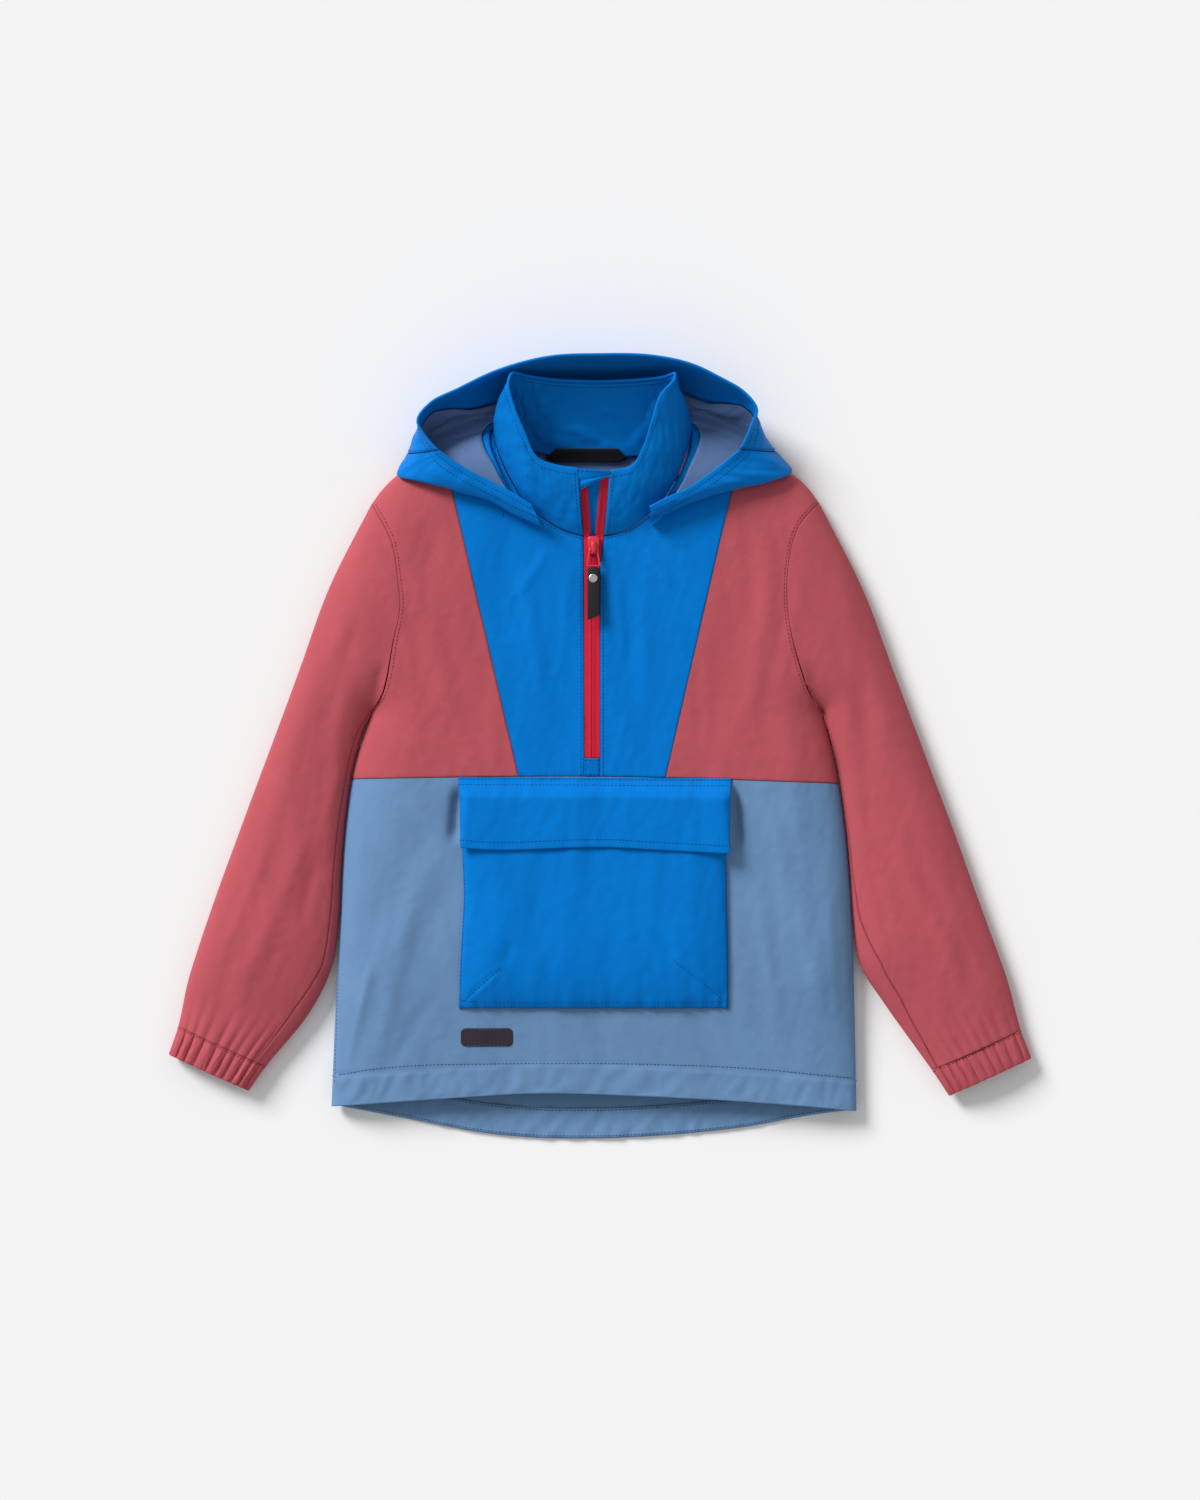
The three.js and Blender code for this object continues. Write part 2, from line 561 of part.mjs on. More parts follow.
function outerEdge({ sign, armhole, side }, sideShare) {
  const parts = [stretch(armhole, 0, 1, -sign * HALF), stretch(side, 0, sideShare)];
  return joined(parts, [ARMHOLE_SHARE, 1]);
}

// Red side panel of the front: from the V seam out to the armhole, shoulder to yoke seam.
function frontSide(s) {
  const vTop = s.vSeam.at(0);
  const start = s.shoulder.nearest(vTop.x, vTop.y).share;
  const sideShare = sideAtYoke(s);
  const plan = blendedPatch({
    top: stretch(s.shoulder, start, 1, s.sign * HALF),
    bottom: stretch(yokeSeam, seamShare(s.vSeam.at(1)), seamShare(s.side.at(sideShare)), s.sign * HALF, HALF),
    left: stretch(s.vSeam, 0, 1, s.sign * HALF),
    right: outerEdge(s, sideShare),
  });
  return clothWall(laid(plan, topHeight), easeBoth(8), UPPER_ROWS, { normalOf: onSlope(topHeight) });
}

// Blue centre panel: from the zip out to the V seam, neckline and shoulder to yoke seam.
function frontCentre(s) {
  const vTop = s.vSeam.at(0);
  const shoulderEnd = s.shoulder.nearest(vTop.x, vTop.y).share;
  const neckY = s.neck.at(0).y;
  const yokeY = yokeSeam.at(0.5).y + HALF;
  const bottomStart = seamShare(new THREE.Vector3(s.zipEdge(yokeY), yokeY, 0));
  const plan = blendedPatch({
    top: joined([stretch(s.neck, 0, 1), stretch(s.shoulder, 0, shoulderEnd, -s.sign * HALF)], [0.72, 1]),
    bottom: stretch(yokeSeam, bottomStart, seamShare(s.vSeam.at(1)), -s.sign * HALF, HALF),
    left: (v) => {
      const y = mix(neckY, yokeY, v);
      return new THREE.Vector3(s.zipEdge(y), y, 0);
    },
    right: stretch(s.vSeam, 0, 1, -s.sign * HALF),
  });
  const columns = [0, 0.15, 0.3, 0.45, 0.58, 0.66, 0.72, 0.86, 1];
  const rows = [...easeStart(7).map((t) => t * 0.55), 0.78, 1];
  return clothWall(laid(plan, topHeight), columns, rows, { normalOf: onSlope(topHeight) });
}

// Slate lower front, from the yoke seam to the hem.
function frontLower() {
  const [l, r] = SIDES.map(sideAtYoke);
  const plan = blendedPatch({
    top: stretch(yokeSeam, seamShare(sideLeft.at(l)), seamShare(sideRight.at(r)), 0, -HALF),
    bottom: stretch(hemFront, 0, 1),
    left: stretch(sideLeft, l, 1),
    right: stretch(sideRight, r, 1),
  });
  return clothWall(laid(plan, topHeight), easeBoth(18), range(9), { normalOf: onSlope(topHeight) });
}

// Back panels, flat on the table but for their edges.
const BACK_EDGE = [0, 0.003, 0.011, 0.032];
const mirrored = (values) => [...values].reverse().map((t) => 1 - t);
const BACK_COLUMNS = [...BACK_EDGE, 0.15, 0.3, 0.5, 0.7, 0.85, ...mirrored(BACK_EDGE)];
const BACK_UPPER_COLUMNS = [...BACK_EDGE, 0.12, 0.22, 0.3, 0.33, 0.36, 0.43, 0.5, 0.57, 0.64, 0.67, 0.7, 0.78, 0.88,
  ...mirrored(BACK_EDGE)];

function backUpper() {
  const [l, r] = SIDES.map(sideAtYoke);
  const neckEnds = [0.3, 0.7, 1];
  const plan = blendedPatch({
    top: joined([stretch(shoulderLeft, 1, 0), stretch(neckBack, 0, 1), stretch(shoulderRight, 0, 1)], neckEnds),
    bottom: stretch(yokeSeam, seamShare(sideLeft.at(l)), seamShare(sideRight.at(r)), 0, HALF),
    left: outerEdge(SIDES[0], l),
    right: outerEdge(SIDES[1], r),
  });
  return clothWall(laid(plan, bottomHeight), BACK_UPPER_COLUMNS, UPPER_ROWS, { outward: DOWN, normalOf: onSlope(bottomHeight) });
}

function backLower() {
  const [l, r] = SIDES.map(sideAtYoke);
  const plan = blendedPatch({
    top: stretch(yokeSeam, seamShare(sideLeft.at(l)), seamShare(sideRight.at(r)), 0, -HALF),
    bottom: stretch(hemBack, 0, 1),
    left: stretch(sideLeft, l, 1),
    right: stretch(sideRight, r, 1),
  });
  return clothWall(laid(plan, bottomHeight), BACK_COLUMNS, range(7), { outward: DOWN, normalOf: onSlope(bottomHeight) });
}

// The turned-up hem inside the back, seen below the front's hem.
function backHemFacing() {
  const [from, to] = [0.055, 0.955];
  const plan = (u, v) => hemBack.at(mix(from, to, u)).add(new THREE.Vector3(0, mix(25, 1, v), 0));
  const flat = () => CLOTH + LAYER_GAP;
  return clothWall(laid(plan, flat), range(14), range(2), { outward: DOWN, inner: -LINING });
}

// Lining of the back, seen inside the neck.
function backNeckLining() {
  const [from, to] = [0.1, 0.9];
  const lower = [[-66, 175], [58, 175]];
  const plan = blendedPatch({
    top: stretch(neckBack, from, to, 0, -2),
    bottom: (u) => new THREE.Vector3(mix(lower[0][0], lower[1][0], u), lower[0][1], 0),
    left: (v) => neckBack.at(from).lerp(new THREE.Vector3(...lower[0], 0), v),
    right: (v) => neckBack.at(to).lerp(new THREE.Vector3(...lower[1], 0), v),
  });
  const surface = laid(plan, bottomHeight, CLOTH + LAYER_GAP);
  return clothWall(surface, range(10), range(4), { outward: DOWN, inner: -LINING });
}

// A point on a sleeve. r runs from 0 at the outer fold to 1 at the inner fold over the top,
// and from 0 to -1 the same way underneath. row counts the sleeve's sections.
function sleevePoint(s, r, row) {
  const across = Math.abs(r);
  const a = s.rails.outer.row(row);
  const b = s.rails.inner.row(row);
  const p = a.clone().lerp(b, across);
  const curve = s.armhole.at(across).sub(s.armhole.at(0).lerp(s.armhole.at(1), across));
  const fade = 1 - smooth(row / mix(2.6, 1.6, smooth((across - 0.5) / 0.4)));
  p.addScaledVector(curve, fade);
  const ease = HALF + ARMPIT_EASE * smooth((across - 0.5) / 0.4) + SHOULDER_EASE * (1 - smooth(across / 0.1));
  p.x += s.sign * ease * (1 - smooth(row / 1.2));
  p.z = r >= 0 ? topHeight(p.x, p.y) : bottomHeight(p.x, p.y);
  return p;
}

// The outward normal of a sleeve: by its slope on the top and the underside, and square to the
// rail where it turns over a fold.
function sleeveNormal(s, r, row, p) {
  const [height, reach, rise] = r >= 0 ? [topHeight, TOP_REACH, SLEEVE_LOFT - FOLD_Z] : [bottomHeight, BOTTOM_REACH, FOLD_Z];
  const gap = Math.min(...foldGaps(p.x, p.y));
  const facing = r >= 0 ? 1 : -1;
  if (gap > SLOPE_FROM) return slopeNormal(height, p).multiplyScalar(facing);
  const inside = Math.abs(r) > 0.5;
  const rail = inside ? s.rails.inner : s.rails.outer;
  const along = rail.row(row + 0.05).sub(rail.row(Math.max(row - 0.05, 0)));
  const out = new THREE.Vector3(along.y, -along.x, 0).normalize();
  const across = s.rails.inner.row(row).sub(s.rails.outer.row(row)).multiplyScalar(inside ? 1 : -1);
  out.multiplyScalar(Math.sign(out.dot(across)));
  const t = Math.max(gap - EDGE_FLAT, 0.02) / reach;
  const steepness = (rise / reach) * (1 - t) / Math.sqrt(1 - (1 - t) ** 2);
  return out.multiplyScalar(steepness).setZ(facing).normalize();
}

const ARMPIT_EASE = 2.9;
const SHOULDER_EASE = 0.8;
const SLEEVE_ROWS = [0, 0.4, 0.9, 1.5, 2.3, 3.4, 4.7, 6, 7, 8, 9];
const BACK_SEAM = 5;

function seamOf(s, row) {
  const k = Math.min(Math.floor(row), s.sections.length - 2);
  return mix(s.sections[k].seam, s.sections[k + 1].seam, row - k);
}

// Top sleeve: over the outer fold, from the seam underneath to the seam near the inner fold.
function sleeveTop(s) {
  const under = ARMHOLE_STEPS.slice(1, BACK_SEAM + 1).reverse();
  const over = ARMHOLE_STEPS.slice(0, -2);
  const steps = [...under.map((t) => -t), ...over];
  const point = (k, row) => {
    const last = over[over.length - 1];
    const r = steps[k];
    return sleevePoint(s, r > 0 ? (r / last) * seamOf(s, row) : r, row);
  };
  const normalOf = (p, k, row) => sleeveNormal(s, steps[k], row, p);
  return clothWall(point, steps.map((_, k) => k), SLEEVE_ROWS, { normalOf, exact: true });
}

// Under sleeve: from that seam round the inner fold and back underneath.
function sleeveUnder(s) {
  const above = [0, 0.4, 0.746, 1];
  const below = ARMHOLE_STEPS.slice(BACK_SEAM, -1).reverse();
  const point = (k, row) => {
    const seam = seamOf(s, row) + 0.6 / 80;
    if (k < above.length) return sleevePoint(s, mix(seam, 1, above[k]), row);
    const t = below[k - above.length];
    return sleevePoint(s, -(t === below[below.length - 1] ? t + 0.6 / 80 : t), row);
  };
  const steps = [...above, ...below].map((_, k) => k);
  const normalOf = (p, k, row) => sleeveNormal(s, k < above.length ? 1 : -1, row, p);
  return clothWall(point, steps, SLEEVE_ROWS, { normalOf, exact: true });
}

// Gathered cuff: waves over the top and round the folds, plain where it rests.
function cuff(s) {
  const top = CUFF_WAVES * 2;
  const bottom = 10;
  const firstRow = s.sections.length - 1;
  const rows = [0.02, 0.18, 0.5, 0.8, 1];
  const steps = [...range(top), ...range(bottom).slice(1, -1).map((t) => 1 + t)];
  const point = (q, v) => {
    const t = q <= 1 ? q : 2 - q;
    const across = mix(t, (1 - Math.cos(Math.PI * t)) / 2, 0.7);
    const row = firstRow + v;
    const p = s.rails.outer.row(row).clone().lerp(s.rails.inner.row(row), across);
    if (q > 1) {
      p.z = bottomHeight(p.x, p.y);
      return p;
    }
    const wave = Math.cos(Math.PI * CUFF_WAVES * q) * smooth(v * 3);
    const round = Math.sqrt(Math.max(0, 1 - (2 * across - 1) ** 2));
    p.z = FOLD_Z + (CUFF_LOFT - FOLD_Z) * round * mix(1, 0.86, v) + CUFF_WAVE_DEPTH * wave * Math.min(1, round * 2);
    return p;
  };
  const middle = s.rails.outer.row(firstRow + 0.5).clone().lerp(s.rails.inner.row(firstRow + 0.5), 0.5).setZ(FOLD_Z);
  return clothWall(point, steps, rows, { outward: (p) => p.clone().sub(middle), ring: true });
}

// The collar stands on the neckline and leans back.
const collarBase = new THREE.CatmullRomCurve3(COLLAR.map(({ base: [x, y, z] }) => (
  new THREE.Vector3(x, y, z ?? topHeight(x, y) + LAYER_GAP))));
const collarTop = new THREE.CatmullRomCurve3(COLLAR.map(({ top }) => new THREE.Vector3(...top)));

function collarPoint(u, v) {
  const foot = collarBase.getPoint(u);
  const rise = collarTop.getPoint(u).sub(foot);
  const outwards = rise.clone().cross(collarBase.getTangent(u)).normalize();
  return foot.addScaledVector(rise, v).addScaledVector(outwards, COLLAR_BULGE * 4 * v * (1 - v));
}

const COLLAR_SPANS = COLLAR.length - 1;
const COLLAR_STEP = [0.02, 0.05];
const COLLAR_BENDS = [4.5, 5.5, 6.5, 11.5, 12.5, 13.5];
const COLLAR_COLUMNS = [...range(COLLAR_SPANS, 0, COLLAR_SPANS), ...COLLAR_BENDS]
  .sort((a, b) => a - b).map((row) => row / COLLAR_SPANS);

function collarWall(outer, inner, trim) {
  const rows = [trim, 0.25, 0.5, 0.75, 1 - trim / 2];
  const normalOf = (p, u, v) => surfaceNormal(collarPoint, u, v, COLLAR_STEP);
  return clothWall(collarPoint, COLLAR_COLUMNS, rows, { outer, inner, normalOf, exact: true });
}

// The lowest that the hood lies at a place: just clear of the garment, or of the table.
function hoodFloor(x, y) {
  const cover = coverHeight(x, y);
  return cover + mix(TABLE_CLEAR, HOOD_CLEAR, clamp01(cover / 5));
}

// The hood as a bowl round the collar. Its sections rise over what lies below them, and turn
// over at the outer fold from the heel to the foot.
const HOOD_RISE = { neck: 0, under: 0, heel: 0, foot: 6, bulge: 13, brim: 15 };
const HEEL_INSET = 7;

function hoodRowPoint(row, key) {
  const [x, y, z = 0] = row[key === 'heel' ? 'foot' : key];
  const p = new THREE.Vector3(x, y, z);
  if (key === 'heel') {
    const inwards = new THREE.Vector3(...row.under).setZ(0).sub(p.setZ(0));
    p.addScaledVector(inwards.clone().normalize(), Math.min(HEEL_INSET, inwards.length() / 2));
  }
  p.z = Math.max(p.z, hoodFloor(p.x, p.y) + HOOD_RISE[key]);
  return p;
}
const hoodStrips = Object.keys(HOOD_RISE).map((key) => (
  new THREE.CatmullRomCurve3(HOOD.map((row) => hoodRowPoint(row, key)), false, 'centripetal')));

function hoodPoint(u, v) {
  const section = new THREE.CatmullRomCurve3(hoodStrips.map((strip) => strip.getPoint(u)), false, 'centripetal');
  const p = section.getPoint(v);
  p.z = Math.max(p.z, hoodFloor(p.x, p.y));
  return p;
}

// Rows of the hood's cloth. The slate lining reaches up to the facing row, the blue facing on to
// the brim.
const FACING_ROW = 7;
const BRIM_ROW = 9;

function hoodShare(u, row) {
  const start = mix(0.66, 0.79, smooth(Math.min(u, 1 - u) * 8 - 0.4));
  const shares = [0, 0.03, 0.2, 0.38, 0.46, 0.53, 0.6, start, (1 + start) / 2, 1];
  const k = Math.min(Math.floor(row), BRIM_ROW - 1);
  return mix(shares[k], shares[k + 1], row - k);
}

// Columns of the hood's cloth, counted in its sections: closer where it bends.
const HOOD_SPANS = HOOD.length - 1;
const HOOD_COLUMNS = [...range(22, 0, 11), 12, 13, 14, 15, ...range(22, 15, 26).slice(1)];
const hoodColumns = (from, to) => [
  from, ...HOOD_COLUMNS.filter((row) => row > from + 0.2 && row < to - 0.2), to].map((row) => row / HOOD_SPANS);

const HOOD_STEP = [0.04, 0.03];

// The lining keeps this far towards the neck where the outer cloth turns over at the fold.
const LINING_INSET = 6;
const NO_INSET = 0;

// A layer of the hood between two columns and two rows, at its depth below the outer face.
function hoodLayer(columns, rows, outer, inner, inset = NO_INSET) {
  const point = (u, row) => {
    const inwards = hoodStrips[0].getPoint(u).sub(hoodStrips[3].getPoint(u)).setZ(0).normalize();
    const turn = smooth((row - 2) / 2) * (1 - 0.8 * smooth(row - 6));
    return hoodPoint(u, hoodShare(u, row)).addScaledVector(inwards.setZ(0.25), inset * turn);
  };
  const normalOf = (p, u, row) => surfaceNormal(hoodPoint, u, hoodShare(u, row), HOOD_STEP);
  return clothWall(point, columns, rows, { outer, inner, normalOf, exact: true });
}

const hoodShell = (from, to) => hoodLayer(hoodColumns(from, to), range(BRIM_ROW, 0, BRIM_ROW), 0, -CLOTH);
const UNDER_SHELL = -CLOTH - HOOD_LAYER_GAP;
const SEAM_ROW = 0.07;

function hoodFacing() {
  const rows = [FACING_ROW + SEAM_ROW, 8, BRIM_ROW - SEAM_ROW];
  return hoodLayer(hoodColumns(0.2, HOOD_SPANS - 0.2), rows, UNDER_SHELL, UNDER_SHELL - LINING);
}

function hoodLining() {
  const rows = [1, 2, 3, 4, 5, 6, FACING_ROW - SEAM_ROW];
  return hoodLayer(hoodColumns(1.5, HOOD_SPANS - 1.5), rows, UNDER_SHELL, UNDER_SHELL - LINING, LINING_INSET);
}

// Height along the zip: on the front, then up the collar's front edge.
function zipHeight(y) {
  const edge = collarPoint(0, 0);
  const top = collarPoint(0, 1);
  if (y < edge.y) return topHeight(-6, Math.min(y, edge.y)) + LAYER_GAP * smooth((y - 150) / 20);
  return mix(edge.z, top.z, (y - edge.y) / (top.y - edge.y));
}

const ZIP_BENDS = [120, 152, 163, COLLAR[0].base[1], 186, 200];
const WIND_FLAP_ROWS = [...ZIP_BENDS, 212, 222];

function zipTape(outerKey, innerKey, topY) {
  const point = (u, y) => (
    new THREE.Vector3(mix(zipAt(outerKey, y), zipAt(innerKey, y), u), y, zipHeight(y) - TAPE_LOW));
  const rows = [ZIP_BOTTOM_Y, 60, ...ZIP_BENDS, topY];
  return clothWall(point, [0, 0.5, 1], rows, { inner: -TAPE_THICK });
}

function windFlap() {
  const low = TAPE_LOW + TAPE_THICK + LAYER_GAP;
  const point = (u, y) => {
    const [left, right] = [zipAt('leftOuter', y) + 0.6, zipAt('rightOuter', y) - 0.6];
    return new THREE.Vector3(mix(left, right, u), y, zipHeight(y) - low);
  };
  return clothWall(point, [0, 0.5, 1], WIND_FLAP_ROWS);
}

function chinGuard() {
  const point = (u, v) => {
    const topY = mix(227.4, 225, u);
    const y = mix(topY, mix(211, 222, u), v);
    const x = mix(zipAt('leftOuter', y) + 0.1, zipAt('rightOuter', y) - 0.1, u);
    return new THREE.Vector3(x, y, zipHeight(y) + LAYER_GAP + CLOTH + 1.2 * Math.sin(Math.PI * u));
  };
  return clothWall(point, range(4), range(2), { inner: -CLOTH });
}

function zipEndPatch() {
  const top = ZIP_BOTTOM_Y - 0.4;
  const bottom = yokeSeam.at(0.5).y + HALF;
  const point = (u, v) => {
    const y = mix(bottom, top, v);
    const x = mix(SIDES[0].zipEdge(y) + 0.4, SIDES[1].zipEdge(y) - 0.4, u);
    return new THREE.Vector3(x, y, topHeight(x, y));
  };
  return clothWall(point, range(2), range(2));
}

// Pocket: sewn down at its lower edges and sides, open at the top and the upper sides.
function pocketLift(u, v) {
  const width = POCKET[0].right - POCKET[0].left;
  const height = POCKET[0].y - POCKET[POCKET.length - 1].y;
  const sewnFrom = (POCKET_TOP_Y - POCKET_SEWN_Y) / height;
  const side = quarterRound(Math.min(u, 1 - u) * width, 40);
  const open = mix(0.72, 1, side);
  const rise = mix(open, side, smooth((v - sewnFrom * 0.55) / (sewnFrom * 0.6)));
  return POCKET_LOFT * rise * quarterRound((1 - v) * height, 42);
}

function pocketPanel() {
  const point = (u, v) => {
    const y = mix(POCKET[0].y, POCKET[POCKET.length - 1].y, v);
    const x = mix(tableAt(POCKET, 'left', y), tableAt(POCKET, 'right', y), u);
    return new THREE.Vector3(x, y, topHeight(x, y) + PATCH_GAP + CLOTH + pocketLift(u, v));
  };
  return clothWall(point, easeBoth(14), [0, 0.14, 0.25, 0.4, 0.55, 0.7, 0.82, 0.91, 0.97, 1]);
}

function pocketFlap() {
  const edge = new PlanCurve(FLAP_EDGE);
  const full = PATCH_GAP + CLOTH + POCKET_LOFT + FLAP_CLEAR + CLOTH;
  const point = (u, v) => {
    const top = new THREE.Vector3(...FLAP.left, 0).lerp(new THREE.Vector3(...FLAP.right, 0), u);
    const p = top.lerp(edge.at(u), v);
    p.z = topHeight(p.x, p.y) + mix(PATCH_GAP + CLOTH, full, smooth(v / 0.3));
    return p;
  };
  return clothWall(point, range(12), [0, 0.08, 0.15, 0.22, 0.3, 0.6, 0.85, 1]);
}

function badge() {
  const point = (u, v) => {
    const q = (v - 0.5) * BADGE.height;
    const past = Math.max(0, Math.abs(q) - (BADGE.height / 2 - BADGE.corner));
    const half = BADGE.length / 2 - BADGE.corner + Math.sqrt(BADGE.corner ** 2 - past ** 2);
    const x = BADGE.x + (2 * u - 1) * half;
    const y = BADGE.y + q;
    return new THREE.Vector3(x, y, topHeight(x, y) + PATCH_GAP + 0.8);
  };
  return clothWall(point, range(6), [0, 0.08, 0.25, 0.5, 0.75, 0.92, 1], { inner: -0.8 });
}

function neckLabel() {
  const point = (u, v) => {
    const k = v < 0.4 ? 0 : 1;
    const t = k === 0 ? v / 0.4 : (v - 0.4) / 0.6;
    const [a, b] = [LABEL[k], LABEL[k + 1]];
    const x = mix(mix(a.left, b.left, t), mix(a.right, b.right, t), u);
    return new THREE.Vector3(x, mix(a.y, b.y, t), mix(a.z, b.z, t));
  };
  return clothWall(point, range(4), [0, 0.4, 1], { inner: -0.6 });
}

const SNAP = { row: 8.2, radius: 3.2, thick: 1.2, clear: 1.5 };

// Zip slider, with the bridge that holds the pull's link.
const SLIDER = { x: -4.9, y: 166, length: 15, width: 9.5, tail: 7.5, thick: 3 };
const SLIDER_TOP_Z = zipHeight(SLIDER.y) - TAPE_LOW + 0.7 + SLIDER.thick;
const BRIDGE = { width: 3.2, length: 10.5, height: 4.2, wall: 1.3 };
const HINGE = { x: SLIDER.x, y: SLIDER.y - 3.2, z: SLIDER_TOP_Z + 0.3 + 1.5 };

function plate(outline, thick, z, holes = []) {
  const shape = new THREE.Shape(outline.map(([x, y]) => new THREE.Vector2(x, y)));
  holes.forEach((hole) => shape.holes.push(new THREE.Path(hole.map(([x, y]) => new THREE.Vector2(x, y)))));
  return new THREE.ExtrudeGeometry(shape, { depth: thick, bevelEnabled: false }).translate(0, 0, z);
}

function slider() {
  const { x, y, length, width, tail, thick } = SLIDER;
  const outline = [
    [x - tail / 2, y - length / 2], [x + tail / 2, y - length / 2], [x + width / 2, y + length * 0.1],
    [x + width / 2, y + length * 0.4], [x + width * 0.3, y + length / 2], [x - width * 0.3, y + length / 2],
    [x - width / 2, y + length * 0.4], [x - width / 2, y + length * 0.1],
  ];
  return plate(outline, thick, SLIDER_TOP_Z - thick);
}

// The bridge is an arch seen from the side, as wide as its width across the slider.
function sliderBridge() {
  const { width, length, height, wall } = BRIDGE;
  const half = length / 2;
  const outer = [[-half, 0], [-half, height * 0.6], [-half * 0.6, height], [half * 0.6, height], [half, height * 0.6]];
  const inner = [[half, 0], [half - wall, 0], [half - wall, height * 0.55], [half * 0.5, height - wall]];
  const rest = [[-half * 0.5, height - wall], [-(half - wall), height * 0.55], [-(half - wall), 0]];
  const shape = new THREE.Shape([...outer, ...inner, ...rest].map(([a, b]) => new THREE.Vector2(a, b)));
  const arch = new THREE.ExtrudeGeometry(shape, { depth: width, bevelEnabled: false });
  arch.rotateX(Math.PI / 2).rotateZ(Math.PI / 2);
  arch.translate(SLIDER.x - width / 2, SLIDER.y - 2, SLIDER_TOP_Z + 0.3);
  return arch;
}

// Link and tab of the pull, lying down the zip and lifted a little at the free end.
const PULL_TILT = 0.05;
const LINK = { top: 7.4, bottom: 12, length: 14.6, bar: 1.6, thick: 1.6 };
const TAB = { left: -4.9, right: 5.1, start: 14.9, leftEnd: 58.2, rightEnd: 54.2, thick: 1.8, corner: 1.5 };
const RIVET = { x: -0.3, y: 24, radius: 3.6, thick: 1.0 };

function pullPiece(geometry) {
  return geometry.rotateX(-PULL_TILT).translate(HINGE.x, HINGE.y, HINGE.z);
}

function pullLink() {
  const { top, bottom, length, bar, thick } = LINK;
  const outline = [[-top / 2, 0.8], [top / 2, 0.8], [bottom / 2, -length], [-bottom / 2, -length]];
  const inside = [
    [-top / 2 + bar * 0.9, 0.8 - bar], [-bottom / 2 + bar * 1.6, -length + bar * 1.6],
    [bottom / 2 - bar * 1.6, -length + bar * 1.6], [top / 2 - bar * 0.9, 0.8 - bar],
  ];
  return pullPiece(plate(outline, thick, -thick / 2, [inside]));
}

function pullTab() {
  const { left, right, start, leftEnd, rightEnd, thick, corner } = TAB;
  const outline = [
    [left, -leftEnd], [right, -rightEnd], [right, -start - corner], [right - corner, -start],
    [left + corner, -start], [left, -start - corner],
  ];
  return pullPiece(plate(outline, thick, -thick / 2));
}

function pullRivet() {
  const { x, y, radius, thick } = RIVET;
  const profile = [[0, 0], [radius, 0], [radius, thick * 0.4], [radius * 0.7, thick], [0, thick]];
  const dome = new THREE.LatheGeometry(profile.map(([a, b]) => new THREE.Vector2(a, b)), 20);
  dome.rotateX(Math.PI / 2).translate(x, -y, TAB.thick / 2 + 0.3);
  return pullPiece(dome);
}

// Snap cap on the inside of each front end of the hood.
function snap(u) {
  const v = hoodShare(u, SNAP.row);
  const p = hoodPoint(u, v);
  const face = surfaceNormal(hoodPoint, u, v, HOOD_STEP).negate();
  const cap = new THREE.CylinderGeometry(SNAP.radius * 0.85, SNAP.radius, SNAP.thick, 16);
  cap.applyQuaternion(new THREE.Quaternion().setFromUnitVectors(new THREE.Vector3(0, 1, 0), face));
  const depth = -UNDER_SHELL + LINING + SNAP.clear + SNAP.thick / 2;
  return cap.translate(...p.addScaledVector(face, depth).toArray());
}

for (const s of SIDES) {
  addPiece(`front_side_${s.tag}`, frontSide(s), 'cloth_red');
  addPiece(`front_centre_${s.tag}`, frontCentre(s), 'cloth_blue');
  addPiece(`sleeve_top_${s.tag}`, sleeveTop(s), 'cloth_red');
  addPiece(`sleeve_under_${s.tag}`, sleeveUnder(s), 'cloth_red');
  addPiece(`cuff_${s.tag}`, cuff(s), 'cloth_red');
}
addPiece('front_lower', frontLower(), 'cloth_slate');
addPiece('back_upper', backUpper(), 'cloth_red');
addPiece('back_lower', backLower(), 'cloth_slate');
addPiece('back_hem_facing', backHemFacing(), 'cloth_slate');
addPiece('back_neck_lining', backNeckLining(), 'lining_slate');
addPiece('collar_outer', collarWall(0, -CLOTH, 0), 'cloth_blue');
addPiece('collar_inner', collarWall(-CLOTH - COLLAR_LAYER_GAP, -CLOTH - COLLAR_LAYER_GAP - LINING, 0.04), 'cloth_blue');
addPiece('neck_label', neckLabel(), 'rubber_black');
addPiece('hood_side_l', hoodShell(0, HOOD_SEAM_LEFT - 0.07), 'cloth_blue');
addPiece('hood_crown', hoodShell(HOOD_SEAM_LEFT, HOOD_SEAM_RIGHT), 'cloth_blue');
addPiece('hood_side_r', hoodShell(HOOD_SEAM_RIGHT + 0.07, HOOD_SPANS), 'cloth_blue');
addPiece('hood_facing', hoodFacing(), 'cloth_blue');
addPiece('hood_lining', hoodLining(), 'lining_slate');
addPiece('snap_l', snap(0.45 / HOOD_SPANS), 'metal_silver');
addPiece('snap_r', snap(1 - 0.45 / HOOD_SPANS), 'metal_silver');
addPiece('zip_tape_l', zipTape('leftOuter', 'leftInner', TAPE_TOP_LEFT_Y), 'zip_red');
addPiece('zip_tape_r', zipTape('rightOuter', 'rightInner', TAPE_TOP_RIGHT_Y), 'zip_red');
addPiece('wind_flap', windFlap(), 'cloth_blue');
addPiece('chin_guard', chinGuard(), 'cloth_blue');
addPiece('zip_end_patch', zipEndPatch(), 'cloth_blue');
addPiece('pocket_panel', pocketPanel(), 'cloth_blue');
addPiece('pocket_flap', pocketFlap(), 'cloth_blue');
addPiece('badge', badge(), 'badge_black');
addPiece('slider', slider(), 'slider_red');
addPiece('slider_bridge', sliderBridge(), 'slider_red');
addPiece('pull_link', pullLink(), 'slider_red');
addPiece('pull_tab', pullTab(), 'rubber_black');
addPiece('pull_rivet', pullRivet(), 'metal_silver');

export default anorak;
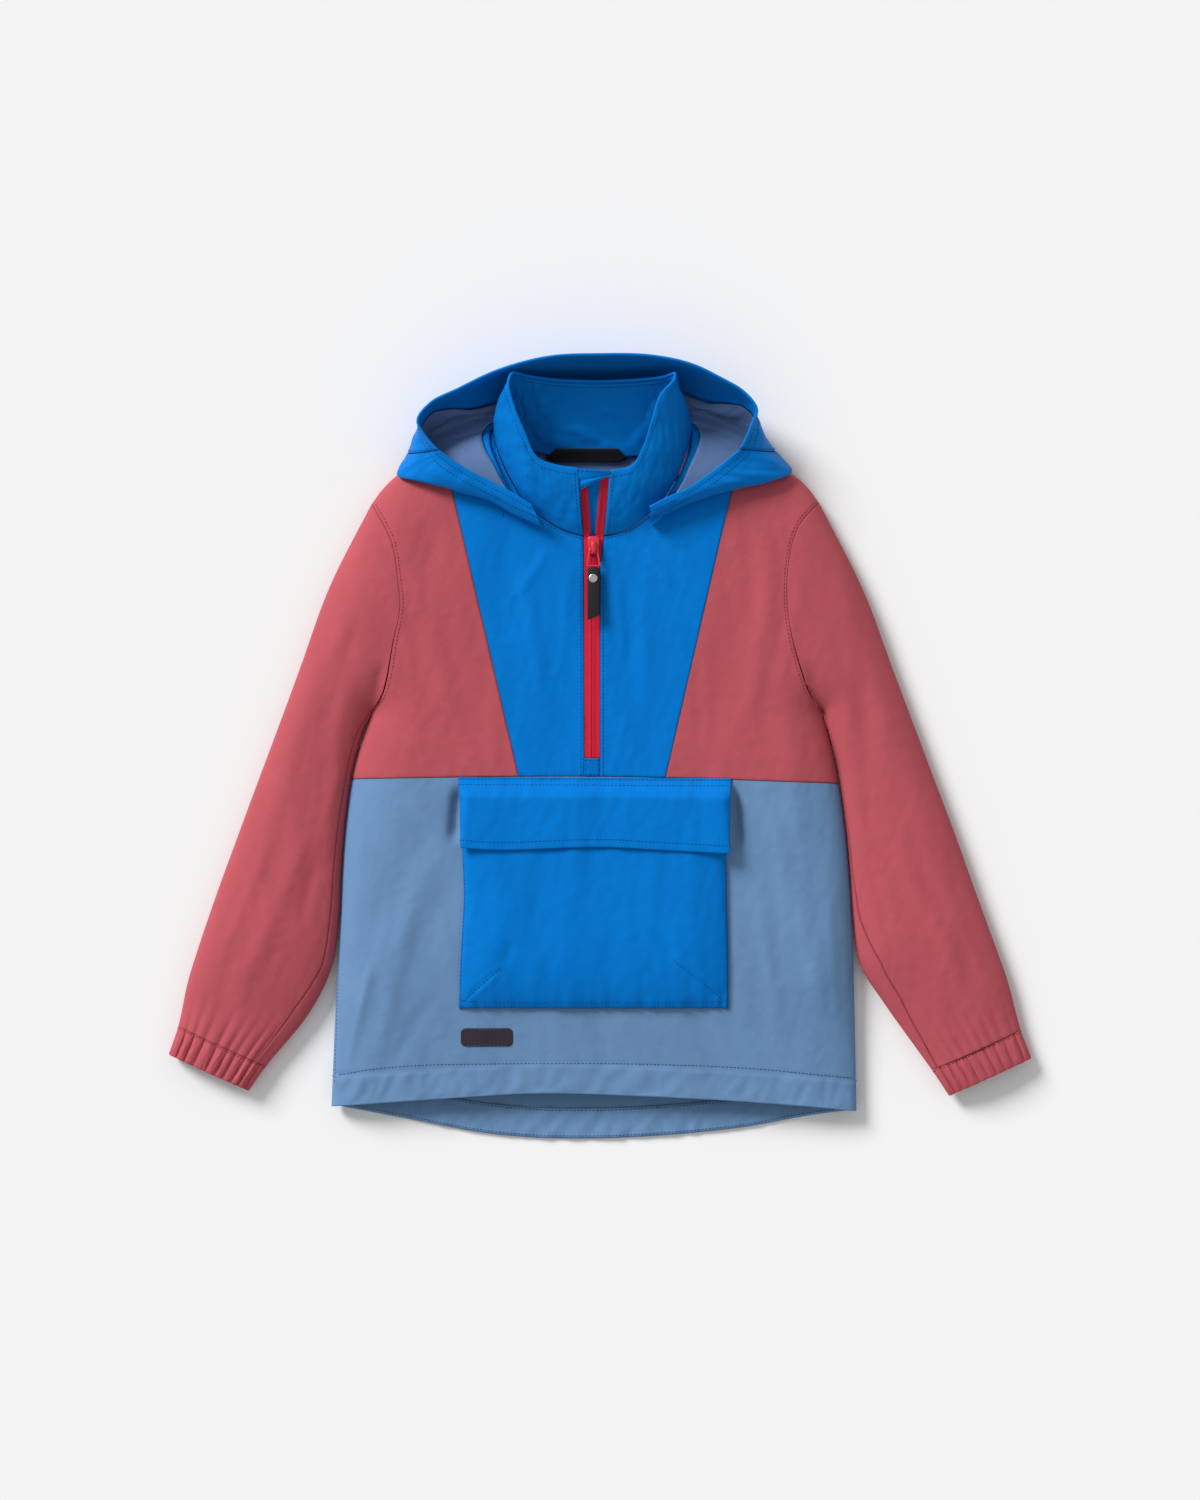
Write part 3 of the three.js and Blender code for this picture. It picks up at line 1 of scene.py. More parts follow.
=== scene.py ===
"""Dresses a child's anorak pullover that lies flat on a table, front up.

The frame gives the plain solids. This script lays finer cloth over them, with soft folds, seams,
stitches, gathers and weave, and finishes the zip, the pull, the snaps and the labels.
Plan values are millimetres; +X is to the right, +Y runs from hem to hood, +Z up.
"""

import math

import bmesh
import bpy
import numpy as np
from mathutils.bvhtree import BVHTree
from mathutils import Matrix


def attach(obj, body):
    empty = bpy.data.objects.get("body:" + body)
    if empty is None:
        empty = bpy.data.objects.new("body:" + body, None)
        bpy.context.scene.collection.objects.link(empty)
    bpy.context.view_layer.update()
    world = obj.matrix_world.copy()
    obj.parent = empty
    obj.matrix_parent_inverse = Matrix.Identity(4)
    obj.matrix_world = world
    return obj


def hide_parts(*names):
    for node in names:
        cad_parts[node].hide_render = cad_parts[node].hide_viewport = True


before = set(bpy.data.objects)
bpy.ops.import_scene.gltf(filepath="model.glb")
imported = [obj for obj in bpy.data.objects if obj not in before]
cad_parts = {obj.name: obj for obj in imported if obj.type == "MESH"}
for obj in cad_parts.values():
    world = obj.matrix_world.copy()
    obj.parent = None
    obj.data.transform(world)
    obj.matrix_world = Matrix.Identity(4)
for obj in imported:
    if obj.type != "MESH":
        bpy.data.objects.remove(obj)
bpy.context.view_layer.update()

# Cloth
CLOTH = 0.8
LAYER_GAP = 0.4
FOLD_RADIUS = 1.2
SEAM_ROUND = 1.7
SEAM_SINK = 0.75
HALF = 0.06
MIDDLE_X = 0.5

# How the laid garment rounds over at its folded edges
FOLD_Z = 8.5
FOLD_GAP = 0.3
BODY_LOFT = 27
HEM_LOFT = 16
HEM_Y = -290
LOFT_RUN = 140
SLEEVE_LOFT = 24
CUFF_LOFT = 18
CUFF_Y = -250
CUFF_RUN = 110
BODY_MIDDLE_X = -4
BODY_HALF = 205
TOP_REACH = 44
BOTTOM_REACH = 12
EDGE_FLAT = 0.3
SPAN_STEPS = 10
# How many points are measured against a curve at a time
CHUNK = 2048

# Outlines on the table: shoulders, armholes, sides, seams and hems
SHOULDER_LEFT = [[-87, 261], [-127, 245], [-164, 226], [-178, 213], [-187, 201]]
SHOULDER_RIGHT = [[76, 263], [117, 245], [156, 227], [171, 214], [180, 202]]
ARMHOLE_LEFT = [[-187, 201], [-170, 169], [-165, 140], [-163, 115], [-168, 89], [-177, 45], [-187, 30]]
ARMHOLE_RIGHT = [[180, 202], [162, 180], [154, 146], [154, 113], [158, 88], [172, 45], [183, 30]]
SIDE_LEFT = [[-187, 30], [-201, -14], [-209, -71], [-213, -145], [-217, -219], [-220, -293]]
SIDE_RIGHT = [[183, 30], [193.6, -14], [202, -71], [207.4, -145], [209.6, -219], [211, -297]]
YOKE_SEAM = [[-210, -25], [-66, -23], [0, -23], [54, -24], [208, -29]]
HEM_FRONT = [[-220, -293], [-137, -287], [-50, -282], [0, -283], [89, -287], [173, -293], [211, -297]]
HEM_BACK = [[-220, -293], [-167, -303], [-82, -318], [0, -321], [109, -313], [173, -302], [211, -297]]
HEM_STITCH = [
    [-215, -268], [-187, -263], [-145, -259.5], [-104, -258.7], [16, -258.3], [120, -262], [209, -270.5],
]
V_SEAM_LEFT = [[-128, 244], [-66, -23]]
V_SEAM_RIGHT = [[116, 245], [54, -24]]

# Sections across each sleeve, from the armhole to the cuff's edge: x and y of the outer fold,
# x and y of the inner fold, and how far from the outer to the inner fold the front seam lies
SLEEVE_LEFT = [
    [-187, 201, -187, 30, 0.933], [-222, 132, -194.2, 14, 0.933], [-246, 66, -202, -14, 0.933],
    [-264, 17, -206.2, -41, 0.933], [-282, -31, -209.7, -70, 0.933], [-299, -77, -212, -104, 0.933],
    [-314, -118, -214, -142, 0.933], [-328, -159, -220, -180, 0.93], [-338, -191, -239, -218, 0.88],
    [-346, -228, -274, -261, 0.88], [-354, -251, -288, -281, 0.88],
]
SLEEVE_RIGHT = [
    [180, 202, 183, 30, 0.94], [217, 129, 188.3, 12, 0.97], [241, 65, 195, -14, 0.98],
    [258, 20, 199, -41, 0.98], [276, -28, 202.8, -71, 0.98], [293, -73, 205.6, -105, 0.975],
    [309, -118, 208.3, -142, 0.945], [324, -159, 214.2, -178, 0.85], [335, -190, 233, -208, 0.86],
    [346, -231, 273, -264, 0.94], [355, -254, 287, -285, 0.94],
]
CUFF_ROW = 9
BACK_SEAM = 0.3706
ARMPIT_EASE = 1.0
SHOULDER_EASE = 0.1

# Broad soft folds of the front: from x, y to x, y, width and height
BROAD_FOLDS = [
    [-120, -60, -205, -230, 26, 2.6], [-150, -120, -190, -275, 18, 1.8], [140, -50, 188, -225, 24, 2.2],
    [-150, 150, -120, 20, 22, 1.6], [140, 160, 120, 10, 22, 1.6], [-60, 150, -48, 30, 16, 1.2],
    [40, 160, 36, 20, 16, 1.2], [-216, 110, -292, -120, 22, 2.0], [205, 120, 288, -120, 22, 2.0],
    [-235, -60, -300, -215, 16, 1.6], [232, -60, 312, -220, 16, 1.6],
]
# Sharper creases and hollows, given in the same way
CREASES = [
    [-126, -40, -188, -215, 44, -2.2], [-186, -170, -208, -265, 7, 1.0], [-170, -130, -192, -200, 9, 0.7],
    [-135, -200, -172, -262, 12, -0.8], [-197, -60, -202, -180, 12, 0.8], [-115, -30, -119, -80, 10, -5.5],
    [109, -32, 114, -84, 10, -5.5], [150, -60, 176, -190, 34, -1.6], [128, -120, 150, -235, 12, 0.7],
    [186, -110, 196, -240, 9, 0.8], [-176, 75, -190, 10, 12, -2.0], [170, 75, 186, 10, 12, -2.0],
    [-176, 150, -150, 60, 12, 0.8], [164, 140, 146, 40, 12, 0.8], [-196, 110, -226, 10, 16, -1.6],
    [190, 100, 222, 0, 16, -1.6], [-212, -10, -232, -100, 13, 1.4], [204, -20, 226, -110, 13, 1.4],
    [-224, -60, -246, -150, 10, -1.0], [216, -70, 240, -165, 10, -1.0], [-262, -60, -318, -190, 12, 0.8],
    [262, -70, 322, -200, 12, 0.8], [-26, 150, -30, 60, 9, 0.7], [14, 148, 20, 70, 9, 0.7],
    [-150, 12, -140, -20, 8, 0.5], [-88, 40, -84, -18, 9, 0.5], [92, 60, 84, -16, 9, 0.5],
    [-40, 165, -70, 120, 9, 0.9], [36, 165, 62, 130, 9, 0.9], [120, 190, 128, 90, 16, -1.0],
    [-138, 190, -142, 90, 16, -1.0],
]

# Sections up the collar, from the left zip edge round the back to the right zip edge: x and y of
# its foot, x, y and z of its top, and the foot's height where it isn't that of the front
COLLAR = [
    [-13.4, 173.6, -17.3, 227, 46], [-32, 179.6, -37, 230, 47], [-56.5, 196.6, -51, 236, 49],
    [-73, 221, -61, 256, 52], [-83.5, 245, -70, 277, 54], [-86.5, 260, -75, 297, 54, 9],
    [-80, 257, -71, 306, 46, 6.5], [-68, 250.5, -59, 304.5, 36, 4.5], [-45, 242.5, -40, 302, 31, 3.6],
    [0, 239.5, 0, 300.5, 28, 3.4], [40, 242.5, 36, 302, 31, 3.6], [60, 251.5, 52, 303.5, 36, 4.5],
    [71, 259, 62, 305.5, 46, 6.5], [75.5, 262, 61, 298, 54, 9], [72.5, 245, 50, 286, 54],
    [63, 220.5, 43, 266, 52], [47.5, 197.6, 36, 245, 49], [23, 178.6, 26, 229, 47],
    [3.9, 173.8, 8.6, 225, 46],
]
COLLAR_BULGE = 3.5
COLLAR_STEP = [0.02, 0.05]
NECK_CLEAR = 0.3
NECK_MIDDLE_Y = 225
LEFT_NECK_POINT = 5
RIGHT_NECK_POINT = 13
NECK_LINING_LOWER = [[-66, 175], [58, 175]]

# Sections of the hood, from the left snap round the crown to the right snap: neck, under, foot,
# bulge and brim, each with x and y, and z as well from the foot on
HOOD = [
    [-46, 183.5, -46.5, 182, -47, 180.5, 32, -51, 189, 36.5, -55, 197, 38],
    [-63, 197, -67, 194, -72, 191.5, 33, -73, 199, 40, -71, 207, 42],
    [-76, 215, -84, 210, -92, 203, 30, -95, 210, 40, -90, 217, 44],
    [-84, 233, -101, 223, -121, 211, 24, -117, 217, 38, -106, 225, 45],
    [-89, 246, -118, 234, -150, 219, 15, -139, 224, 34, -121, 234, 45],
    [-89.8, 255.5, -130, 242, -166, 225, 13, -152, 231, 31, -128, 239, 45],
    [-88.8, 260.5, -127, 250, -158, 243, 12, -150, 241, 30, -132, 242, 45],
    [-87, 264, -120, 260.5, -152, 257, 9, -151, 254, 27, -140, 250, 44],
    [-83.5, 265.8, -113, 266.5, -142, 267, 3, -147, 266, 25, -149, 267, 43],
    [-77.5, 265, -103, 270, -128, 275, 1.5, -136, 279, 24, -138, 282, 43],
    [-69, 261, -88, 271.5, -106, 281, 1.2, -113, 289, 24, -116, 293, 45],
    [-50, 253, -64, 274, -76, 293, 1.2, -81, 303, 26, -82, 308.5, 48],
    [-24, 246, -32, 275, -38, 303, 1.2, -40, 313, 27, -41, 319, 50],
    [0, 245.5, 0, 276, 0, 306, 1.2, 0, 315.5, 27, 0, 321, 50],
    [22, 246, 32, 275, 38, 304, 1.2, 40, 314, 27, 41, 320, 50],
    [43, 250, 57, 275, 69, 298, 1.2, 73, 308, 26, 74, 313.5, 48],
    [58, 259.5, 76, 273, 92, 286, 1.2, 97, 296, 24, 99, 302, 46],
    [67, 265, 89, 271, 110, 277, 1.5, 117, 285, 24, 119, 290, 44],
    [72.5, 265.8, 98, 269, 122, 271, 3, 127, 274, 26, 129, 276, 43],
    [76, 263.8, 104, 264, 131, 262, 7, 132, 262, 29, 125, 263, 44],
    [78, 260, 110, 254, 144.5, 244.5, 10, 136, 242.5, 32, 115, 243, 45],
    [78.2, 255, 116, 243, 158, 227.5, 12, 144, 231, 32, 108, 237, 45],
    [77, 245, 106, 234, 144.5, 220, 15, 130, 222.5, 36, 98, 229, 45],
    [73, 232, 91, 223, 114, 212, 24, 106, 215, 40, 87, 221, 45],
    [67, 216, 78, 210, 90, 205, 30, 86, 208, 41, 74, 212, 44],
    [54, 199, 58, 197, 64, 195.5, 33, 63, 200, 40, 58, 204.5, 42],
    [39.5, 185.5, 40, 185, 41, 184.5, 32, 42, 190, 36.5, 41, 196, 38],
]
HOOD_RISE = {"neck": 0, "under": 0, "heel": 0, "foot": 6, "bulge": 13, "brim": 15}
HOOD_COLUMNS = {
    "neck": (0, 1), "under": (2, 3), "heel": (4, 5), "foot": (4, 5, 6), "bulge": (7, 8, 9),
    "brim": (10, 11, 12),
}
HEEL_INSET = 7
# How far the right neck edge tucks in under the collar
NECK_TUCK = 2.5
HOOD_STEP = [0.04, 0.03]
HOOD_SPANS = len(HOOD) - 1
HOOD_SEAM_LEFT = 6
HOOD_SEAM_RIGHT = 20
HOOD_CLEAR = 2.6
TABLE_CLEAR = 0.7
FACING_ROW = 7
BRIM_ROW = 9
FACING_DEPTH = 2.4
LINING_DEPTH = 2.7
LINING_INSET = 6
FIXED_SHARES = [0, 0.03, 0.2, 0.38, 0.46, 0.53, 0.6]
SNAP_ROW = 8.2

# Edges of the two zip tapes up the front: y, then x of the left outer, left inner, right inner
# and right outer edge
ZIP = [
    [-8, -12.5, -6.2, -6.1, 0.2], [60, -12.5, -6.2, -6.1, 0.2], [152, -12.5, -6.2, -6.1, 0.2],
    [174, -13.0, -7.8, -2.9, 3.4], [213, -15.8, -10.3, 0.7, 7.0], [221, -16.3, -10.6, 1.5, 7.7],
]
LEFT_OUTER, LEFT_INNER, RIGHT_INNER, RIGHT_OUTER = 1, 2, 3, 4
TAPE_TOP_LEFT = 213
TAPE_TOP_RIGHT = 221
ZIP_BOTTOM = -8
TAPE_LOW = 0.6
ZIP_EDGE_GAP = 0.15

# Pocket and flap on the lower front: y, left x, right x
POCKET = [
    [-42, -112.5, 104.5], [-86, -112, 103.5], [-120, -110.5, 104], [-165, -113, 105], [-213, -115, 105.5],
]
POCKET_LOFT = 7.5
POCKET_SEWN_Y = -86
PATCH_GAP = 0.6
FLAP_TOP = [[-115, -23.2], [107.5, -24.3]]
FLAP_EDGE = [[-113.5, -80], [-82, -82], [0, -79.5], [50, -82], [106, -85]]
FLAP_CLEAR = 1.6
DARTS = [[-110.5, -206, -82, -180], [100.5, -205, 61, -173]]

BADGE = {"x": -92.3, "y": -236.6, "length": 42.6, "height": 15, "corner": 4}
LABEL = [[-39, 16, 235.8, 5.9], [-45, 22.5, 238.6, 6.7], [-35, 15.5, 246.2, 9.9]]

# Zip slider and its pull
SLIDER = {"x": -4.9, "y": 166, "length": 15, "width": 9.5, "tail": 7.5, "thick": 3}
BRIDGE = {"width": 3.2, "length": 10.5, "height": 4.2, "wall": 1.3}
# The bridge stands on the slider and the pull's ring turns below it
BRIDGE_LEG = 0.6
BRIDGE_LIFT = 0.45
HINGE_BACK = 3.2
HINGE_HEIGHT = 2.045
PULL_TILT = 0.05
LINK = {"top": 7.4, "bottom": 12, "length": 14.6, "bar": 1.6, "thick": 1.6}
TAB = {
    "left": -4.9, "right": 5.1, "start": 14.9, "left_end": 58.2, "right_end": 54.2, "thick": 1.8,
    "corner": 1.5,
}
RIVET = {"x": -0.3, "y": 24, "radius": 3.6, "thick": 1.0}


def smooth(t):
    t = np.clip(t, 0, 1)
    return t * t * (3 - 2 * t)


def mix(a, b, t):
    return a + (b - a) * t


def unit(v):
    return v / np.maximum(np.linalg.norm(v, axis=-1, keepdims=True), 1e-9)


def noise(x, y, seed):
    """Smooth noise from about -1 to 1, one cell to a unit."""
    angles = np.random.default_rng(seed).uniform(0, 2 * math.pi, 4096)
    i, j = np.floor(x).astype(int), np.floor(y).astype(int)
    fx, fy = x - i, y - j

    def corner(a, b):
        angle = angles[((i + a) * 157 + (j + b) * 811) % 4096]
        return np.cos(angle) * (fx - a) + np.sin(angle) * (fy - b)

    sx, sy = (t**3 * (t * (t * 6 - 15) + 10) for t in (fx, fy))
    return 1.5 * mix(mix(corner(0, 0), corner(1, 0), sx), mix(corner(0, 1), corner(1, 1), sx), sy)


def creased(x, y, angle, length, width, seed):
    """Soft uneven creases that run along an angle, from about -1 to 1."""
    c, s = math.cos(angle), math.sin(angle)
    along, across = (x * c + y * s) / length, (y * c - x * s) / width
    return noise(along, across + 0.6 * noise(along * 0.7, across * 0.35, seed + 1), seed)


def spline(points, t):
    """Points on a smooth curve through the given rows. t runs from 0 to 1, in equal steps a row.
    points is one table, or a table for each t."""
    points, t = np.asarray(points, float), np.asarray(t, float)
    first = 2 * points[..., :1, :] - points[..., 1:2, :]
    last = 2 * points[..., -1:, :] - points[..., -2:-1, :]
    padded = np.concatenate([first, points, last], axis=-2)
    k = np.clip(t, 0, 1) * (points.shape[-2] - 1)
    i = np.minimum(k.astype(int), points.shape[-2] - 2)
    w = (k - i)[..., None]

    def take(offset):
        if points.ndim == 2:
            return padded[i + offset]
        return np.take_along_axis(padded, (i + offset)[..., None, None], axis=-2)[..., 0, :]

    p0, p1, p2, p3 = (take(n) for n in range(4))
    spans = ((p0, p1), (p1, p2), (p2, p3))
    d0, d1, d2 = (np.linalg.norm(b - a, axis=-1, keepdims=True) ** 0.5 for a, b in spans)
    d1 = np.where(d1 < 1e-4, 1.0, d1)
    d0, d2 = np.where(d0 < 1e-4, d1, d0), np.where(d2 < 1e-4, d1, d2)
    m1 = ((p1 - p0) / d0 - (p2 - p0) / (d0 + d1) + (p2 - p1) / d1) * d1
    m2 = ((p2 - p1) / d1 - (p3 - p1) / (d1 + d2) + (p3 - p2) / d2) * d1
    return p1 + m1 * w + (3 * (p2 - p1) - 2 * m1 - m2) * w**2 + (2 * (p1 - p2) + m1 + m2) * w**3


class Outline:
    """A smooth curve on the table, kept as a dense line."""

    def __init__(self, points, straight=False):
        points = np.asarray(points, float)[:, :2]
        steps = np.linspace(0, 1, (len(points) - 1) * SPAN_STEPS + 1)
        self.points = points if straight else spline(points, steps)
        gaps = np.linalg.norm(np.diff(self.points, axis=0), axis=1)
        self.lengths = np.concatenate([[0], np.cumsum(gaps)])
        self.length = self.lengths[-1]

    def at(self, share):
        """The point at a share of the length."""
        reach = np.clip(share, 0, 1) * self.length
        return np.stack([np.interp(reach, self.lengths, self.points[:, k]) for k in (0, 1)], -1)

    def row(self, t):
        """The point at a row of the table that made the curve, counted from 0."""
        steps = np.arange(len(self.points))
        k = np.clip(np.asarray(t, float) * SPAN_STEPS, 0, steps[-1])
        return np.stack([np.interp(k, steps, self.points[:, a]) for a in (0, 1)], -1)

    def nearest(self, x, y):
        """The distance to each point, and the share of the length nearest to it."""
        x, y = np.broadcast_arrays(np.asarray(x, float), np.asarray(y, float))
        px, py = x.ravel(), y.ravel()
        (sx, sy), (dx, dy) = self.points[:-1].T, np.diff(self.points, axis=0).T
        size = np.maximum(dx**2 + dy**2, 1e-12)
        gaps, shares = np.empty(len(px)), np.empty(len(px))
        for n in range(0, len(px), CHUNK):
            some = slice(n, n + CHUNK)
            ox, oy = px[some, None] - sx, py[some, None] - sy
            t = np.clip((ox * dx + oy * dy) / size, 0, 1)
            gap = (ox - t * dx) ** 2 + (oy - t * dy) ** 2
            best = gap.argmin(1)
            pick = np.arange(len(best))
            gaps[some] = np.sqrt(gap[pick, best])
            shares[some] = mix(self.lengths[best], self.lengths[best + 1], t[pick, best]) / self.length
        return gaps.reshape(x.shape), shares.reshape(x.shape)

    def gap(self, x, y):
        return self.nearest(x, y)[0]


shoulder_left, shoulder_right = Outline(SHOULDER_LEFT), Outline(SHOULDER_RIGHT)
armhole_left, armhole_right = Outline(ARMHOLE_LEFT), Outline(ARMHOLE_RIGHT)
side_left, side_right = Outline(SIDE_LEFT), Outline(SIDE_RIGHT)
yoke_seam = Outline(YOKE_SEAM)
hem_front, hem_back, hem_stitch = Outline(HEM_FRONT), Outline(HEM_BACK), Outline(HEM_STITCH)
v_seam_left, v_seam_right = Outline(V_SEAM_LEFT, True), Outline(V_SEAM_RIGHT, True)
collar_foot = Outline([row[:2] for row in COLLAR])


def neckline(start, end, clear):
    """The panels' edge just outside the collar's foot, between two of its sections."""
    row = np.linspace(start, end, 49)
    last = len(COLLAR) - 1
    along = unit(collar_foot.row(np.minimum(row + 0.1, last)) - collar_foot.row(np.maximum(row - 0.1, 0)))
    points = collar_foot.row(row) + clear * np.stack([-along[:, 1], along[:, 0]], -1)
    return Outline(points, True)


neck_left = neckline(0, LEFT_NECK_POINT, NECK_CLEAR)
neck_right = neckline(len(COLLAR) - 1, RIGHT_NECK_POINT, NECK_CLEAR)
neck_back = neckline(LEFT_NECK_POINT, RIGHT_NECK_POINT, NECK_CLEAR)


class Side:
    """The curves of one half of the garment."""

    def __init__(self, tag, sign, shoulder, armhole, side, v_seam, neck, sleeve, zip_key):
        self.tag, self.sign = tag, sign
        self.shoulder, self.armhole, self.side = shoulder, armhole, side
        self.v_seam, self.neck = v_seam, neck
        table = np.array(sleeve, float)
        self.outer, self.inner, self.seams = Outline(table[:, 0:2]), Outline(table[:, 2:4]), table[:, 4]
        self.zip_key = zip_key

    def seam(self, row):
        """Where the sleeve's front seam lies, at a row."""
        return np.interp(row, np.arange(len(self.seams)), self.seams)

    def zip_edge(self, y):
        return zip_at(self.zip_key, y) + self.sign * ZIP_EDGE_GAP


def table_at(table, column, y):
    rows = sorted(table)
    return np.interp(y, [row[0] for row in rows], [row[column] for row in rows])


def zip_at(column, y):
    return table_at(ZIP, column, y)


LEFT = Side(
    "l", -1, shoulder_left, armhole_left, side_left, v_seam_left, neck_left, SLEEVE_LEFT, LEFT_OUTER,
)
RIGHT = Side(
    "r", 1, shoulder_right, armhole_right, side_right, v_seam_right, neck_right, SLEEVE_RIGHT, RIGHT_OUTER,
)


def fold_gaps(x, y):
    """Distances to the folded edges: the outer silhouettes and the slits below the arms."""
    return [
        np.minimum(LEFT.shoulder.gap(x, y), LEFT.outer.gap(x, y)),
        np.minimum(RIGHT.shoulder.gap(x, y), RIGHT.outer.gap(x, y)),
        np.minimum(LEFT.side.gap(x, y), LEFT.inner.gap(x, y)),
        np.minimum(RIGHT.side.gap(x, y), RIGHT.inner.gap(x, y)),
    ]


def quarter_round(gap, reach):
    return np.sqrt(1 - (1 - np.clip((gap - EDGE_FLAT) / reach, 0, 1)) ** 2)


def folds(x, y, table):
    """The height of soft ridges, each fading at its two ends."""
    height = np.zeros(np.shape(x))
    for ax, ay, bx, by, width, high in table:
        dx, dy = bx - ax, by - ay
        t = np.clip(((x - ax) * dx + (y - ay) * dy) / (dx * dx + dy * dy), 0, 1)
        gap = np.hypot(x - ax - t * dx, y - ay - t * dy)
        height += high * smooth(np.minimum(t, 1 - t) * 3 + 0.15) * np.exp(-((gap / (width * 0.5)) ** 2))
    return height


def small_folds(x, y):
    """The cloth's own unevenness: long soft waves, small creases and a slight crumple."""
    waves = 1.1 * creased(x, y, 1.5, 150, 34, 11) + 0.45 * creased(x, y, 1.75, 80, 16, 12)
    small = 0.18 * creased(x, y, 1.3, 40, 8, 13) + 0.07 * creased(x, y, 0.5, 26, 6, 15)
    return waves + small + 0.06 * noise(x / 4, y / 4, 14)


def top_height(x, y, relief=True):
    """Height of the outside of the front and of the sleeves' upper side."""
    body = mix(HEM_LOFT, BODY_LOFT, smooth((y - HEM_Y) / LOFT_RUN))
    sleeve = mix(CUFF_LOFT, SLEEVE_LOFT, smooth((y - CUFF_Y) / CUFF_RUN))
    on_sleeve = smooth((np.abs(x - BODY_MIDDLE_X) - BODY_HALF) / 20)
    crown = mix(body, sleeve, on_sleeve) + folds(x, y, BROAD_FOLDS)
    if relief:
        crown = crown + folds(x, y, CREASES) + small_folds(x, y)
    share = 1
    for gap in fold_gaps(x, y):
        share = share * quarter_round(gap, TOP_REACH)
    return mix(FOLD_Z + FOLD_GAP / 2, crown, share)


def bottom_height(x, y):
    """Height of the outside of the back and of the sleeves' lower side, which lie on the table."""
    gap = np.minimum.reduce(fold_gaps(x, y))
    hollow = 0.7 * np.clip(creased(x, y, 1.4, 120, 26, 21), 0, 1)
    hollow = hollow + 0.12 * np.clip(noise(x / 6, y / 6, 22), 0, 1)
    return np.maximum((FOLD_Z - FOLD_GAP / 2) * (1 - quarter_round(gap, BOTTOM_REACH)), hollow)


def cover_height(x, y):
    """Height of whatever the hood lies on: the front, or the table past the shoulders and the neck."""
    height = np.zeros(np.shape(x))
    for s in (LEFT, RIGHT):
        mine = (x < 0) if s.sign < 0 else (x >= 0)
        _, share = s.shoulder.nearest(x, y)
        edge = s.shoulder.at(share)
        inside = (share <= 0) & (np.abs(x) < np.abs(edge[..., 0])) & (y > NECK_MIDDLE_Y)
        past = np.hypot(x - edge[..., 0], y - edge[..., 1])
        away = FOLD_Z * (1 - smooth(past / 16))
        below = np.where((y < edge[..., 1]) & ~inside, top_height(x, y, False), away)
        height = np.where(mine, below, height)
    return height


def patch(top, bottom, left, right, u, v):
    """Points on the table between four curves, as rows of columns. The sides are drawn in to meet
    the ends of the top and the bottom."""
    upper, lower = top(u), bottom(u)
    v1, v2, u2 = v[:, None], v[:, None, None], u[:, None]
    ends = np.array([0.0, 1.0])

    def drawn_in(side, start, end):
        first, last = side(ends)
        return side(v) + mix(start - first, end - last, v1)

    start, end = drawn_in(left, upper[0], lower[0]), drawn_in(right, upper[-1], lower[-1])
    corners = mix(mix(upper[0], upper[-1], u2)[None], mix(lower[0], lower[-1], u2)[None], v2)
    return mix(upper[None], lower[None], v2) + mix(start[:, None], end[:, None], u2[None]) - corners


def joined(parts, ends):
    """Curves joined end to end as one edge; ends says at which share each part ends."""

    def point(t):
        k = np.minimum(np.searchsorted(ends, t, side="left"), len(ends) - 1)
        starts = np.array([0, *ends[:-1]])
        share = np.clip((t - starts[k]) / (np.array(ends)[k] - starts[k]), 0, 1)
        points = np.stack([part(share) for part in parts])
        return points[k, np.arange(len(t))]

    return point


def stretch(curve, start, end, dx=0.0, dy=0.0):
    """Part of a curve between two shares, moved sideways on the table."""
    return lambda t: curve.at(mix(start, end, t)) + [dx, dy]


def laid(plan, height, raised=0.0):
    """A plan laid on the front or on the back."""
    return np.concatenate([plan, (height(plan[..., 0], plan[..., 1]) + raised)[..., None]], -1)


def even(n):
    return np.linspace(0, 1, n + 1)


def close_at_ends(n):
    return (1 - np.cos(np.pi * even(n))) / 2


def close_at_end(n):
    return np.sin(np.pi / 2 * even(n))


SEAM_STEPS = [0.35, 0.9, 1.8]


def with_edges(shares, length, first=True, last=True):
    """Shares with a few more beside the ends, where the cloth rolls into a seam."""
    near = [step / length for step in SEAM_STEPS]
    room = near[-1] * 1.3
    kept = [t for t in shares if t in (0, 1) or ((not first or t > room) and (not last or t < 1 - room))]
    return np.array(sorted(kept + (near if first else []) + ([1 - t for t in near] if last else [])))


# Finishes. Colours are 0 to 255 as seen in daylight.
FINISHES = {
    "cloth_blue": {"rgb": (8, 119, 206), "rough": 0.6, "sheen": 0.06, "crumple": 0.5, "thread": 0.00042},
    "cloth_red": {"rgb": (184, 86, 95), "rough": 0.78, "sheen": 0.1, "crumple": 0.5, "thread": 0.0005},
    "cloth_slate": {"rgb": (107, 143, 184), "rough": 0.76, "sheen": 0.1, "crumple": 0.5, "thread": 0.0005},
    "lining_slate": {"rgb": (96, 123, 164), "rough": 0.7, "sheen": 0.08, "crumple": 0.4, "thread": 0.0004},
    "zip_red": {"rgb": (202, 40, 62), "rough": 0.6, "sheen": 0.05, "crumple": 0.1, "thread": 0.0009},
}
THREADS = {"blue": (2, 74, 142), "red": (128, 46, 56), "slate": (52, 82, 124)}
SLOT_OF_THREAD = {"blue": "cloth_blue", "red": "cloth_red", "slate": "cloth_slate"}


def colour(rgb, factor=1.0):
    """A linear colour with alpha from one of 0 to 255."""
    linear = [c / 255 / 12.92 if c <= 10 else ((c / 255 + 0.055) / 1.055) ** 2.4 for c in rgb]
    return (*[min(1.0, c * factor) for c in linear], 1.0)


